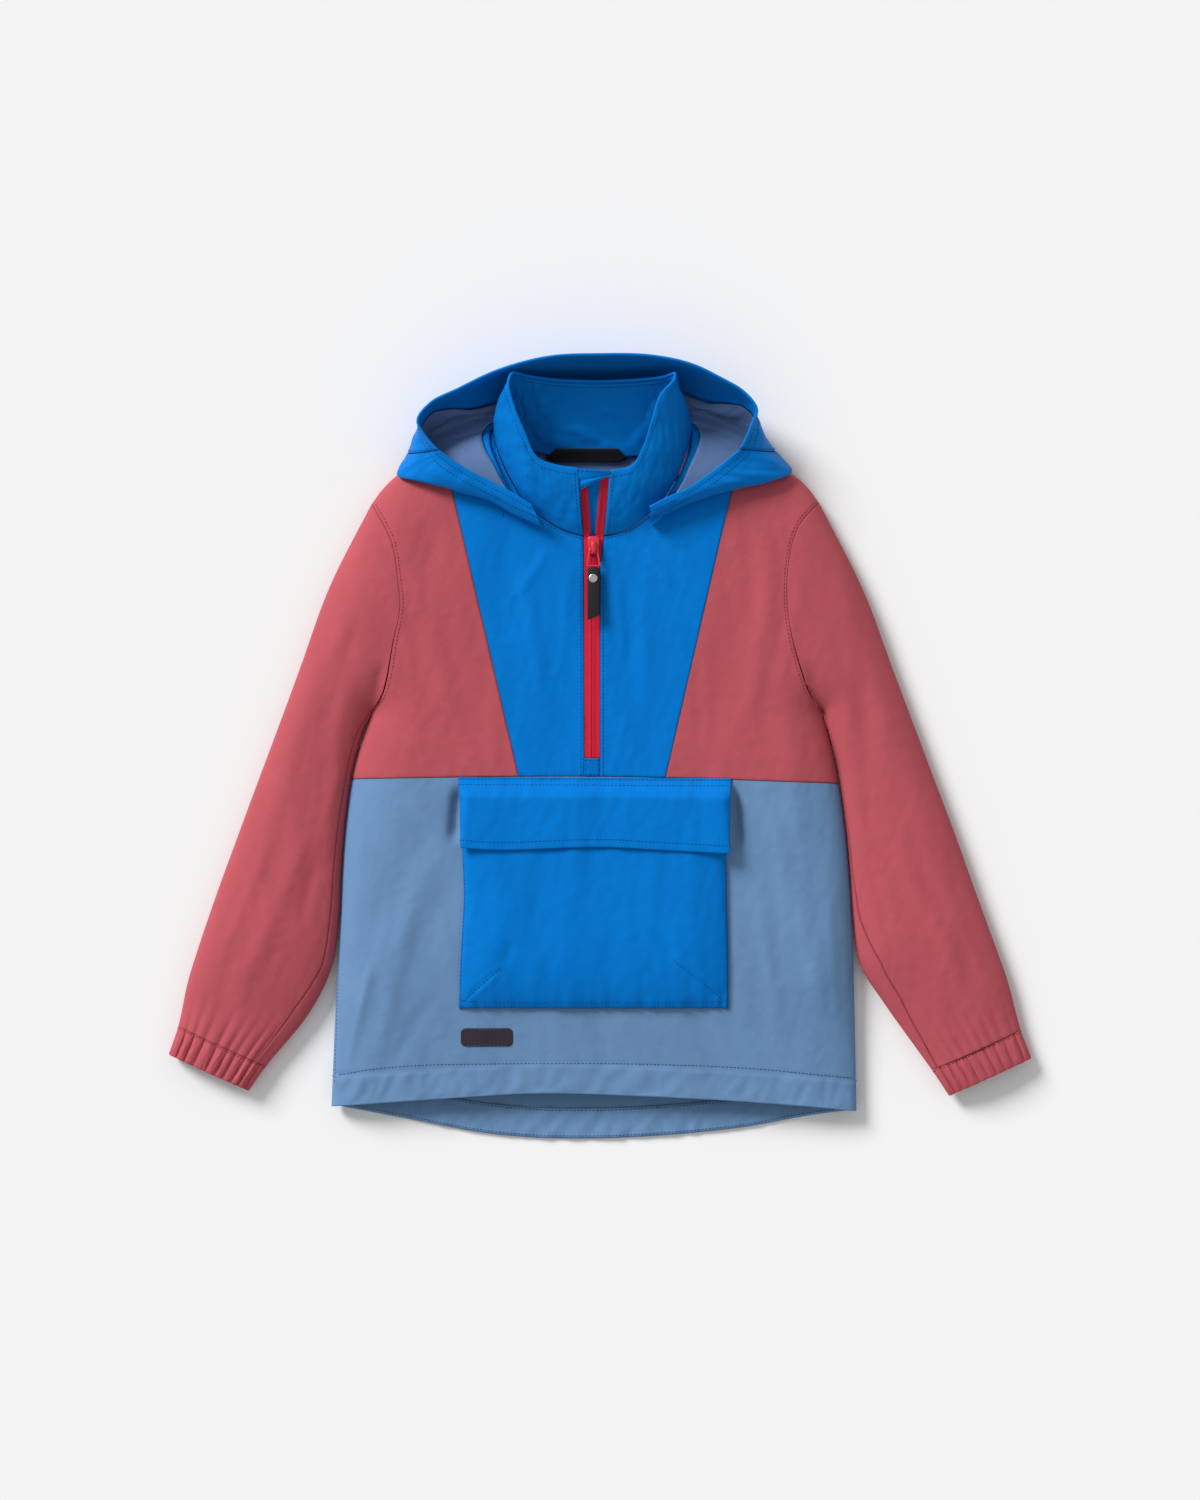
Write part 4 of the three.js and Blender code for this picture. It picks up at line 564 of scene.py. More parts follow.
def add(tree, kind, settings=None, **inputs):
    """Adds a shader node, or one of a kind named in full. settings are its own properties; inputs
    are its sockets, by name or number."""
    node = tree.nodes.new(kind if kind.startswith(("GeometryNode", "FunctionNode")) else f"ShaderNode{kind}")
    for key, value in (settings or {}).items():
        setattr(node, key, value)
    for key, value in inputs.items():
        numbered = key[0] == "n" and key[1:].isdigit()
        socket = node.inputs[int(key[1:]) if numbered else key.replace("_", " ")]
        if isinstance(value, bpy.types.NodeSocket):
            tree.links.new(value, socket)
        else:
            socket.default_value = value
    return node


def blank_finish(name):
    material = bpy.data.materials.new(name)
    material.use_nodes = True
    material.node_tree.nodes.clear()
    return material, material.node_tree


def finished(tree, shader):
    add(tree, "OutputMaterial", Surface=shader.outputs[0])


def times(tree, a, b):
    return add(tree, "Math", {"operation": "MULTIPLY"}, n0=a, n1=b).outputs[0]


def blend(tree, share, first, second):
    """A colour between two, by a share."""
    return add(tree, "Mix", {"data_type": "RGBA"}, n0=share, n6=first, n7=second).outputs[2]


def cloth_finish(name, rgb, rough, sheen, crumple, thread):
    """Woven cloth: crossing threads, a slight crumple, uneven dye, lighter worn edges and painted shade at
    the seams.
    """
    material, tree = blank_finish(name)
    place = add(tree, "TexCoord").outputs["Object"]
    on_cloth = add(tree, "UVMap", {"uv_map": "cloth"}).outputs[0]
    # painted shade: the seam attribute marks the sewn edges, where the colour is darkened for the shade in
    # the seam's groove
    seam = add(tree, "Attribute", {"attribute_name": "seam"}).outputs["Fac"]
    worn = add(tree, "Attribute", {"attribute_name": "worn"}).outputs["Fac"]
    pitch = 2 * math.pi / (20 * thread)
    warp = add(tree, "TexWave", {"bands_direction": "X"}, Vector=on_cloth, Scale=pitch, Distortion=0.4)
    weft = add(tree, "TexWave", {"bands_direction": "Y"}, Vector=on_cloth, Scale=pitch, Distortion=0.4)
    weave = times(tree, warp.outputs["Fac"], weft.outputs["Fac"])
    dye = add(tree, "TexNoise", Vector=place, Scale=26, Detail=4, Roughness=0.6).outputs["Fac"]
    slub = add(tree, "TexNoise", Vector=place, Scale=420, Detail=3, Roughness=0.7).outputs["Fac"]
    crease = add(
        tree, "TexNoise", {"noise_type": "RIDGED_MULTIFRACTAL", "normalize": True},
        Vector=place, Scale=75, Detail=5, Roughness=0.6,
    ).outputs["Fac"]
    base = blend(tree, dye, colour(rgb, 0.9), colour(rgb, 1.1))
    threads = add(tree, "MapRange", Value=weave, n3=0.88, n4=1.04).outputs[0]
    fibres = add(tree, "MapRange", Value=slub, n3=0.93, n4=1.07).outputs[0]
    # painted shade: the colour falls to 0.72 at a seam, standing in for the shade in its groove
    depth = add(tree, "MapRange", Value=seam, n3=1.0, n4=0.72).outputs[0]
    light = add(tree, "MapRange", Value=worn, n3=1.0, n4=1.09).outputs[0]
    factor = threads
    for other in (fibres, depth, light):
        factor = times(tree, factor, other)
    shade = add(tree, "VectorMath", {"operation": "SCALE"}, n0=base, Scale=factor).outputs[0]
    roughness = add(tree, "MapRange", Value=dye, n3=rough - 0.06, n4=rough + 0.08).outputs[0]
    soft = add(tree, "Bump", Height=crease, Strength=crumple, Distance=0.0008).outputs[0]
    fine = add(tree, "Bump", Height=slub, Strength=0.25, Distance=0.0001, Normal=soft).outputs[0]
    woven = add(tree, "Bump", Height=weave, Strength=0.35, Distance=0.00008, Normal=fine).outputs[0]
    shader = add(
        tree, "BsdfPrincipled", Base_Color=shade, Roughness=roughness, Normal=woven,
        Sheen_Weight=sheen, Sheen_Roughness=0.45, Sheen_Tint=colour(rgb), Specular_IOR_Level=0.25,
        Specular_Tint=colour(rgb),
    )
    finished(tree, shader)
    return material


def thread_finish(name, rgb):
    """Sewing thread: twisted strands with a faint gloss."""
    material, tree = blank_finish(name)
    place = add(tree, "TexCoord").outputs["Object"]
    strands = add(tree, "TexWave", {"bands_direction": "DIAGONAL"}, Vector=place, Scale=900, Distortion=1.5)
    tone = blend(tree, strands.outputs["Fac"], colour(rgb, 0.75), colour(rgb, 1.15))
    bump = add(tree, "Bump", Height=strands.outputs["Fac"], Strength=0.3, Distance=0.0001).outputs[0]
    finished(tree, add(
        tree, "BsdfPrincipled", Base_Color=tone, Roughness=0.7, Normal=bump, Specular_IOR_Level=0.15,
    ))
    return material


def smooth_finish(name, rgb, rough, metal=0.0, coat=0.0, gloss=0.5, grain=600, relief=0.00004, contrast=0.08):
    """Enamel, rubber, print or plated metal, with fine grain and slight handling marks."""
    material, tree = blank_finish(name)
    place = add(tree, "TexCoord").outputs["Object"]
    fine = add(tree, "TexNoise", Vector=place, Scale=grain, Detail=4, Roughness=0.65).outputs["Fac"]
    marks = add(tree, "TexNoise", Vector=place, Scale=grain / 6, Detail=2, Roughness=0.5).outputs["Fac"]
    tone = blend(tree, marks, colour(rgb, 1 - contrast), colour(rgb, 1 + contrast))
    roughness = add(tree, "MapRange", Value=fine, n3=rough - 0.08, n4=rough + 0.08).outputs[0]
    bump = add(tree, "Bump", Height=fine, Strength=0.4, Distance=relief).outputs[0]
    finished(tree, add(
        tree, "BsdfPrincipled", Base_Color=tone, Roughness=roughness, Metallic=metal,
        Coat_Weight=coat, Coat_Roughness=0.2, Specular_IOR_Level=gloss, Normal=bump,
    ))
    return material


finishes = {name: cloth_finish(name, **values) for name, values in FINISHES.items()}
finishes.update({f"thread_{name}": thread_finish(f"thread_{name}", rgb) for name, rgb in THREADS.items()})
SMOOTH_FINISHES = {
    "slider_red": {"rgb": (208, 36, 58), "rough": 0.34, "coat": 0.25},
    "rubber_black": {"rgb": (24, 23, 26), "rough": 0.55, "gloss": 0.3, "grain": 1400, "relief": 0.0001},
    "badge_black": {"rgb": (46, 38, 47), "rough": 0.5, "gloss": 0.3, "grain": 1800, "relief": 0.00008},
    "metal_silver": {"rgb": (205, 205, 210), "rough": 0.26, "metal": 1.0},
}
finishes.update({name: smooth_finish(name, **values) for name, values in SMOOTH_FINISHES.items()})

UPWARDS = np.array([0.0, 0.0, 1.0])
DOWNWARDS = -UPWARDS
ALL_ROUND = {"left": 1, "right": 1, "top": 1, "bottom": 1}
walls = {}


def lengths(grid, axis):
    """How far each point lies from the first row or column, along the cloth."""
    steps = np.linalg.norm(np.diff(grid, axis=axis), axis=-1)
    return np.concatenate([np.zeros_like(np.take(steps, [0], axis)), np.cumsum(steps, axis)], axis)


def normals_of(grid, ring=False):
    if ring:
        across = np.roll(grid, -1, 1) - np.roll(grid, 1, 1)
    else:
        across = np.gradient(grid, axis=1)
    return unit(np.cross(across, np.gradient(grid, axis=0)))


def facing_side(normals, facing):
    """Normals turned to the side that looks to facing."""
    return normals * np.sign((normals * facing).sum())


def turned(grid, normals, radius=FOLD_RADIUS, run=1.5, steps=6):
    """Adds rows that turn the last edge over to the inner side, as a folded edge does."""
    up = unit(grid[-1] - grid[-2])
    rows, turns = [], []
    for angle in np.linspace(0, math.pi, steps + 1)[1:]:
        rows.append(grid[-1] + up * radius * math.sin(angle) - normals[-1] * radius * (1 - math.cos(angle)))
        turns.append(normals[-1] * math.cos(angle) + up * math.sin(angle))
    rows.append(rows[-1] - up * run)
    turns.append(turns[-1])
    return np.concatenate([grid, np.stack(rows)]), np.concatenate([normals, np.stack(turns)])


def in_metres(points):
    """Plan millimetres as the frame's metres."""
    return ((np.asarray(points) - [MIDDLE_X, 0, 0]) / 1000).tolist()


def in_scene(name, mesh):
    obj = bpy.data.objects.new(name, mesh)
    bpy.context.scene.collection.objects.link(obj)
    return obj


def as_object(name, points, faces, finish, uv=None, values=None):
    """A smooth mesh object from points in millimetres."""
    mesh = bpy.data.meshes.new(name)
    mesh.from_pydata(in_metres(points), [], [list(map(int, f)) for f in faces])
    mesh.materials.append(finishes[finish])
    mesh.polygons.foreach_set("use_smooth", np.ones(len(mesh.polygons), bool))
    if uv is not None:
        corners = np.zeros(len(mesh.loops), np.int32)
        mesh.loops.foreach_get("vertex_index", corners)
        flat = (uv[corners] / 1000).astype(np.float32).ravel()
        mesh.uv_layers.new(name="cloth").data.foreach_set("uv", flat)
    for key, value in (values or {}).items():
        mesh.attributes.new(key, "FLOAT", "POINT").data.foreach_set("value", value.astype(np.float32))
    mesh.update()
    return in_scene(name, mesh)


def rim_and_faces(rows, columns, ring):
    """Quads of a closed wall over a grid: outer side, inner side and rims."""
    number = np.arange(rows * columns).reshape(rows, columns)
    right = np.roll(number, -1, 1) if ring else number[:, 1:]
    left = number if ring else number[:, :-1]
    under = rows * columns
    outer = np.stack([left[:-1], right[:-1], right[1:], left[1:]], -1).reshape(-1, 4)
    parts = [outer, outer[:, ::-1] + under]
    edges = [(right[0], left[0]), (left[-1], right[-1])]
    if not ring:
        edges += [(number[:-1, 0], number[1:, 0]), (number[1:, -1], number[:-1, -1])]
    parts += [np.stack([a, b, b + under, a + under], -1) for a, b in edges]
    return np.concatenate(parts)


def wall(
    name, grid, facing, finish, node, seed, thick=CLOTH, sewn=None, normals=None, ring=False,
    puckers=0.36, sink=SEAM_SINK,
):
    """A closed cloth wall under a grid of points. facing is where its outer side looks to. sewn
    names the edges that roll into a seam, each with a weight: left and right are the first and
    last column, top and bottom the first and last row."""
    rows, columns = grid.shape[:2]
    own = normals_of(grid, ring)
    turn = np.sign((own * facing).sum())
    normals = own * turn if normals is None else normals
    across, down = lengths(grid, 1), lengths(grid, 0)
    reach = {
        "left": (across, down), "right": (across[:, -1:] - across, down),
        "top": (down, across), "bottom": (down[-1:] - down, across),
    }
    dip, ripple, seam, worn = (np.zeros((rows, columns)) for _ in range(4))
    for number, (edge, (distance, along)) in enumerate(reach.items()):
        weight = (sewn or {}).get(edge)
        if weight is None:
            if not (ring and edge in ("left", "right")):
                worn = np.maximum(worn, np.exp(-((distance / 1.6) ** 2)))
            continue
        weight = np.asarray(weight, float)
        if weight.ndim:
            weight = weight[:, None] if edge in ("left", "right") else weight[None, :]
        rolled = 1 - np.sqrt(1 - (1 - np.clip(distance / SEAM_ROUND, 0, 1)) ** 2)
        dip = np.maximum(dip, weight * rolled)
        # painted shade: seam is the band along a sewn edge whose colour the finish darkens, for the shade in
        # the seam's groove
        seam = np.maximum(seam, weight * np.exp(-((distance / 1.1) ** 2)))
        wave = noise(along / 5.5, distance / 16 + 9 * number, 300 + seed)
        ripple = ripple + weight * wave * np.exp(-distance / 8) * smooth(distance / 1.5)
    lift = puckers * ripple - sink * dip
    outer = grid + normals * lift[..., None]
    inner = outer - normals * thick
    points = np.concatenate([outer.reshape(-1, 3), inner.reshape(-1, 3)])
    points[:, 2] = np.maximum(points[:, 2], 0)
    faces = rim_and_faces(rows, columns, ring)
    if turn < 0:
        faces = faces[:, ::-1]
    uv = np.tile(np.stack([across, down], -1).reshape(-1, 2), (2, 1))
    # seam carries the painted seam shade to the finish; worn carries the lighter worn edges
    values = {"seam": np.tile(seam.ravel(), 2), "worn": np.tile(worn.ravel(), 2)}
    obj = as_object(name, points, faces, finish, uv, values)
    walls[name] = {"outer": outer, "object": obj}
    settle(obj, finish, node)


def settle(obj, slot, *nodes, body="garment"):
    """Puts a piece on its body, in place of the frame's nodes that it stands for."""
    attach(obj, body)
    if nodes:
        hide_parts(*nodes)
    return obj


def seam_share(p):
    return float(yoke_seam.nearest(p[0], p[1])[1])


def side_at_yoke(s):
    level = float(s.side.nearest(s.side.at(0.2)[0], yoke_seam.at(0)[1])[1])
    on_seam = yoke_seam.at(seam_share(s.side.at(level)))
    return float(s.side.nearest(*on_seam)[1])


ARMHOLE_SHARE = 0.78


def outer_edge(s, side_share):
    parts = [stretch(s.armhole, 0, 1, -s.sign * HALF), stretch(s.side, 0, side_share)]
    return joined(parts, [ARMHOLE_SHARE, 1])


def front_side(s):
    """Red side panel of the front, from the V seam out to the armhole."""
    v_top = s.v_seam.at(0)
    start = float(s.shoulder.nearest(*v_top)[1])
    side_share = side_at_yoke(s)
    u = with_edges(close_at_end(64), 110, last=False)
    v = with_edges(even(110), 230, first=False)
    plan = patch(
        stretch(s.shoulder, start, 1, s.sign * HALF),
        stretch(
            yoke_seam, seam_share(s.v_seam.at(1)), seam_share(s.side.at(side_share)), s.sign * HALF, HALF,
        ),
        stretch(s.v_seam, 0, 1, s.sign * HALF), outer_edge(s, side_share), u, v,
    )
    armhole = 1 - smooth((v - ARMHOLE_SHARE * 0.9) / 0.1)
    sewn = {"left": 0.8, "bottom": 0.8, "right": armhole * 0.6}
    grid = laid(plan, top_height)
    wall(f"red_side_{s.tag}", grid, UPWARDS, "cloth_red", f"front_side_{s.tag}", 1, sewn=sewn)


def front_centre(s):
    """Blue centre panel, from the zip out to the V seam."""
    v_top = s.v_seam.at(0)
    shoulder_end = float(s.shoulder.nearest(*v_top)[1])
    neck_y, yoke_y = s.neck.at(0)[1], yoke_seam.at(0.5)[1] + HALF
    start = seam_share([s.zip_edge(yoke_y), yoke_y])

    def zip_side(v):
        y = mix(neck_y, yoke_y, v)
        return np.stack([s.zip_edge(y), y], -1)

    u = with_edges(even(70), 90)
    v = with_edges(even(110), 220)
    plan = patch(
        joined([stretch(s.neck, 0, 1), stretch(s.shoulder, 0, shoulder_end, -s.sign * HALF)], [0.72, 1]),
        stretch(yoke_seam, start, seam_share(s.v_seam.at(1)), -s.sign * HALF, HALF),
        zip_side, stretch(s.v_seam, 0, 1, -s.sign * HALF), u, v,
    )
    sewn = {"top": 0.6 - 0.6 * smooth((u - 0.66) / 0.06), "left": 0.6, "right": 0.8, "bottom": 0.8}
    grid = laid(plan, top_height)
    wall(f"blue_centre_{s.tag}", grid, UPWARDS, "cloth_blue", f"front_centre_{s.tag}", 2, sewn=sewn)


def hem_relief(x, y, hem):
    """The turned-up hem: a doubled band that puckers between its stitches and its edge."""
    gap = hem.gap(x, y)
    band = smooth(gap / 3) * (1 - smooth((gap - 19) / 5))
    pucker = 0.95 * creased(x, y, 1.15, 28, 8, 31) + 0.6 * creased(x, y, 1.9, 30, 11, 33)
    step = 0.45 * (1 - smooth((gap - 23.5) / 1.2))
    return band * pucker + step - 0.7 * np.exp(-(((gap - 24.3) / 1.3) ** 2))


def front_lower():
    """Slate lower front, from the yoke seam to the turned hem."""
    left, right = side_at_yoke(LEFT), side_at_yoke(RIGHT)
    v = with_edges(even(120), 265)
    plan = patch(
        stretch(yoke_seam, seam_share(side_left.at(left)), seam_share(side_right.at(right)), 0, -HALF),
        stretch(hem_front, 0, 1), stretch(side_left, left, 1), stretch(side_right, right, 1),
        close_at_ends(190), v,
    )
    grid = laid(plan, top_height)
    grid[..., 2] += hem_relief(plan[..., 0], plan[..., 1], hem_front) * smooth((grid[..., 2] - FOLD_Z) / 4)
    normals = facing_side(normals_of(grid), UPWARDS)
    grid, normals = turned(grid, normals, radius=0.9, run=6)
    sewn = {"top": 1}
    wall("slate_front", grid, UPWARDS, "cloth_slate", "front_lower", 3, thick=0.7, sewn=sewn, normals=normals)


def back_upper():
    left, right = side_at_yoke(LEFT), side_at_yoke(RIGHT)
    u = close_at_ends(130)
    plan = patch(
        joined(
            [stretch(shoulder_left, 1, 0), stretch(neck_back, 0, 1), stretch(shoulder_right, 0, 1)],
            [0.3, 0.7, 1],
        ),
        stretch(yoke_seam, seam_share(side_left.at(left)), seam_share(side_right.at(right)), 0, HALF),
        outer_edge(LEFT, left), outer_edge(RIGHT, right), u, with_edges(even(90), 240, first=False),
    )
    grid = laid(plan, bottom_height)
    wall("red_back", grid, DOWNWARDS, "cloth_red", "back_upper", 4, sewn={"bottom": 1}, puckers=0)


def back_lower():
    left, right = side_at_yoke(LEFT), side_at_yoke(RIGHT)
    plan = patch(
        stretch(yoke_seam, seam_share(side_left.at(left)), seam_share(side_right.at(right)), 0, -HALF),
        stretch(hem_back, 0, 1), stretch(side_left, left, 1), stretch(side_right, right, 1),
        close_at_ends(130), with_edges(even(90), 290, last=False),
    )
    grid = laid(plan, bottom_height)
    wall("slate_back", grid, DOWNWARDS, "cloth_slate", "back_lower", 5, sewn={"top": 1}, puckers=0)


def back_hem():
    """The back's hem turned up inside, seen below the front's hem."""
    u, v = even(200), with_edges(even(12), 25, last=False)
    curve = hem_back.at(mix(0.03, 0.97, u))
    plan = np.stack([curve + [0, rise] for rise in mix(25, 0.5, v)])
    x, y = plan[..., 0], plan[..., 1]
    z = 2.3 + 0.8 * creased(x, y, 1.0, 26, 9, 41) + 0.35 * creased(x, y, 2.0, 18, 6, 42)
    fall = np.maximum(bottom_height(x, y) + 1.3, z)
    grid = np.concatenate([plan, fall[..., None]], -1)
    sewn = {"top": 0.6}
    wall("slate_back_hem", grid, UPWARDS, "cloth_slate", "back_hem_facing", 6, thick=0.6, sewn=sewn)


def neck_lining():
    """Slate lining of the back, seen inside the neck."""
    start, end = 0.06, 0.94
    lower = np.array(NECK_LINING_LOWER, float)
    plan = patch(
        stretch(neck_back, start, end, 0, -0.5), lambda u: mix(lower[0], lower[1], u[:, None]),
        lambda v: mix(neck_back.at(start), lower[0], v[:, None]),
        lambda v: mix(neck_back.at(end), lower[1], v[:, None]),
        even(80), even(40),
    )
    x, y = plan[..., 0], plan[..., 1]
    z = bottom_height(x, y) + 2.0 + 0.5 * creased(x, y, 0.3, 40, 12, 43)
    grid = np.concatenate([plan, z[..., None]], -1)
    wall("neck_lining", grid, UPWARDS, "lining_slate", "back_neck_lining", 7, thick=0.6)


GATHERS = 9.5


def gathers(q, seed):
    """Puffs of cloth between the tucks of the elastic; q runs over the upper side."""
    phase = GATHERS * (q + 0.07 * noise(q * 4, 0.5 + 0 * q, seed))
    return np.abs(np.sin(np.pi * phase)) ** 0.75 * (0.85 + 0.5 * noise(q * 6, 3.5 + 0 * q, seed + 1))


def sleeve_point(s, r, row):
    """A point on a sleeve. r runs from 0 at the outer fold to 1 at the inner fold over the top,
    and from 0 to -1 the same way underneath. row counts the sleeve's sections."""
    across = np.abs(r)
    p = mix(s.outer.row(row), s.inner.row(row), across[..., None])
    curve = s.armhole.at(across) - mix(s.armhole.at(0), s.armhole.at(1), across[..., None])
    near = smooth((across - 0.5) / 0.4)
    p = p + curve * (1 - smooth(row / mix(2.6, 1.6, near)))[..., None]
    ease = HALF + ARMPIT_EASE * near + SHOULDER_EASE * (1 - smooth(across / 0.1))
    x, y = p[..., 0] + s.sign * ease * (1 - smooth(row / 1.2)), p[..., 1]
    over = r >= 0
    near_cuff = smooth((row - 7.6) / 1.35)
    round_off = np.minimum(1, 4 * across * (1 - across))
    puffs = (2.3 * gathers(across, 50 + s.sign) - 1.1) * near_cuff**3 * round_off
    z = np.where(over, top_height(x, y) + puffs, bottom_height(x, y) + 0.3 * near_cuff * round_off)
    return np.stack([x, y, z], -1)


SLEEVE_STEPS = 150


def sleeve_rows():
    return with_edges(even(SLEEVE_STEPS), 430) * CUFF_ROW


def sleeve_middle(s, row, shape):
    middle = mix(s.outer.row(row), s.inner.row(row), 0.5)
    middle = np.concatenate([middle, np.full((len(row), 1), 10.0)], 1)
    return np.broadcast_to(middle[:, None], shape)


def sleeve_top(s):
    """Top sleeve: over the outer fold, from the seam underneath to the seam near the inner fold."""
    row = sleeve_rows()
    under = -BACK_SEAM * (1 - close_at_end(28))[:-1]
    over = with_edges(close_at_ends(72), 110, first=False)
    seams = s.seam(row)[:, None]
    r = np.concatenate([np.broadcast_to(under, (len(row), len(under))), over[None] * seams], 1)
    grid = sleeve_point(s, r, np.broadcast_to(row[:, None], r.shape))
    away = grid - sleeve_middle(s, row, grid.shape)
    sewn = {"left": 0.8, "right": 0.8, "top": 0.6, "bottom": 0.4}
    wall(f"sleeve_{s.tag}", grid, away, "cloth_red", f"sleeve_top_{s.tag}", 8, sewn=sewn)


def sleeve_under(s):
    """Under sleeve: from that seam round the inner fold and back underneath."""
    row = sleeve_rows()
    seams = s.seam(row)[:, None] + 0.001
    above = mix(seams, 1, with_edges(close_at_end(14), 12, last=False)[None])
    below = -mix(1, BACK_SEAM, close_at_ends(44))[1:]
    r = np.concatenate([above, np.broadcast_to(below, (len(row), len(below)))], 1)
    grid = sleeve_point(s, r, np.broadcast_to(row[:, None], r.shape))
    away = grid - sleeve_middle(s, row, grid.shape)
    sewn = {"left": 0.8, "right": 0.8, "top": 0.6, "bottom": 0.4}
    wall(f"sleeve_under_{s.tag}", grid, away, "cloth_red", f"sleeve_under_{s.tag}", 9, sewn=sewn)


def cuff(s):
    """Cuff gathered on its elastic: puffs over the top and round the folds."""
    v = np.array([0, 0.02, 0.05, 0.1, 0.16, 0.24, 0.34, 0.44, 0.54, 0.64, 0.74, 0.83, 0.9, 0.96, 1])
    top, bottom = even(230), even(90)[1:-1]
    q = np.concatenate([top, 1 + bottom])
    t = np.where(q <= 1, q, 2 - q)
    across = mix(t, (1 - np.cos(np.pi * t)) / 2, 0.7)
    row = CUFF_ROW + v
    flat = mix(s.outer.row(row)[:, None], s.inner.row(row)[:, None], across[None, :, None])
    round_off = np.sqrt(np.clip(1 - (2 * across - 1) ** 2, 0, 1))
    fullness = 0.45 + 0.55 * np.sin(np.pi * np.clip(v, 0, 1)) ** 0.6
    puff = gathers(across, 50 + s.sign)[None] * fullness[:, None]
    slack = 0.25 * noise(across[None] * 40 + 0 * v[:, None], v[:, None] * 2.5 + 0 * across[None], 61)
    over = FOLD_Z + (CUFF_LOFT - FOLD_Z) * round_off * mix(1, 0.86, v)[:, None]
    over = over + (2.7 * puff - 1.3 + 1.6 * slack) * np.minimum(1, round_off * 2)
    under = bottom_height(flat[..., 0], flat[..., 1]) + 0.5 * np.clip(puff, 0, 1) * round_off
    z = np.where(q <= 1, over, under)
    down = unit(mix(*(fold.row(CUFF_ROW + 1) - fold.row(CUFF_ROW) for fold in (s.outer, s.inner)), 0.5))
    flat = flat + down * ((puff - 0.5) * 1.3 * smooth((v[:, None] - 0.4) / 0.6))[..., None]
    grid = np.concatenate([flat, z[..., None]], -1)
    middle = sleeve_middle(s, row, grid.shape)
    normals = facing_side(normals_of(grid, True), grid - middle)
    grid, normals = turned(grid, normals, radius=0.8, run=4)
    wall(
        f"gathered_cuff_{s.tag}", grid, normals, "cloth_red", f"cuff_{s.tag}", 10, thick=0.6, ring=True,
        sewn={"top": 0.55}, normals=normals,
    )


collar_table = np.array([row[:5] for row in COLLAR], float)
foot_heights = top_height(collar_table[:, 0], collar_table[:, 1], False) + LAYER_GAP
foot_heights = [row[5] if len(row) > 5 else z for row, z in zip(COLLAR, foot_heights)]
collar_base = np.column_stack([collar_table[:, :2], foot_heights])
collar_tops = collar_table[:, 2:5]


def collar_point(u, v):
    """A point on the collar: u round the neck, v up from the foot."""
    foot = spline(collar_base, u)
    rise = spline(collar_tops, u) - foot
    along = spline(collar_base, np.minimum(u + 1e-4, 1)) - spline(collar_base, np.maximum(u - 1e-4, 0))
    outwards = unit(np.cross(rise, unit(along)))
    return foot + rise * v[..., None] + outwards * (COLLAR_BULGE * 4 * v * (1 - v))[..., None]


def surface_normal(point, u, v, step):
    """The outward normal of the collar or hood, whose columns run clockwise seen from above."""
    du, dv = step
    along = point(np.minimum(u + du, 1), v) - point(np.maximum(u - du, 0), v)
    up = point(u, np.minimum(v + dv, 1)) - point(u, np.maximum(v - dv, 0))
    return unit(np.cross(up, along))


def collar_relief(u, v, amount):
    """Soft slanting creases of the collar."""
    x, y = u * 480, v * 56
    soft = 0.8 * creased(x, y, 0.8, 60, 17, 71) + 0.5 * creased(x, y, 2.2, 45, 13, 73)
    return amount * (soft + 0.25 * noise(x / 7, y / 7, 75))


def collar_outer():
    u, v = even(300), with_edges(even(34), 60, last=False)
    uu, vv = np.meshgrid(u, v)
    normals = surface_normal(collar_point, uu, vv, COLLAR_STEP)
    soft = collar_relief(uu, vv, 1.2) * smooth(vv / 0.2) * smooth((1 - vv) / 0.1)
    grid, normals = turned(collar_point(uu, vv) + normals * soft[..., None], normals)
    wall("collar", grid, normals, "cloth_blue", "collar_outer", 11, sewn={"top": 0.6}, normals=normals)


INNER_TOP = 0.972


def collar_inner():
    u, v = even(300), with_edges(even(34) * INNER_TOP, 60, first=False, last=False)
    uu, vv = np.meshgrid(mix(0.004, 0.996, u), v)
    outward = surface_normal(collar_point, uu, vv, COLLAR_STEP)
    soft = collar_relief(uu, vv, 3.6) * smooth(vv / 0.15) * smooth((INNER_TOP - vv) / 0.12)
    depth = 2 * FOLD_RADIUS + np.maximum(soft, -0.25)
    grid = collar_point(uu, vv) - outward * depth[..., None]
    grid[..., 2] = np.maximum(grid[..., 2], 3.4)
    sewn = {"bottom": 0.5}
    wall("collar_inside", grid, -outward, "cloth_blue", "collar_inner", 12, sewn=sewn, normals=-outward)


def hood_floor(x, y):
    """The lowest that the hood lies: just clear of the garment, or of the table."""
    cover = cover_height(x, y)
    return cover + mix(TABLE_CLEAR, HOOD_CLEAR, np.clip(cover / 5, 0, 1))


def hood_strip(key):
    table = np.array(HOOD, float)
    columns = HOOD_COLUMNS[key]
    points = np.zeros((len(table), 3))
    points[:, : len(columns)] = table[:, columns]
    if key == "heel":
        inwards = table[:, 2:4] - points[:, :2]
        size = np.linalg.norm(inwards, axis=1, keepdims=True)
        points[:, :2] += inwards / size * np.minimum(HEEL_INSET, size / 2)
    if key == "neck":
        points[:, 0] -= NECK_TUCK * smooth((table[:, 0] - 50) / 20)
    points[:, 2] = np.maximum(points[:, 2], hood_floor(points[:, 0], points[:, 1]) + HOOD_RISE[key])
    return points


hood_strips = [hood_strip(key) for key in HOOD_RISE]


def hood_point(u, v):
    """A point on the hood's outer face: u round from snap to snap, v from the neck to the brim."""
    sections = np.stack([spline(strip, u) for strip in hood_strips], axis=-2)
    p = spline(sections, v)
    p[..., 2] = np.maximum(p[..., 2], hood_floor(p[..., 0], p[..., 1]))
    return p


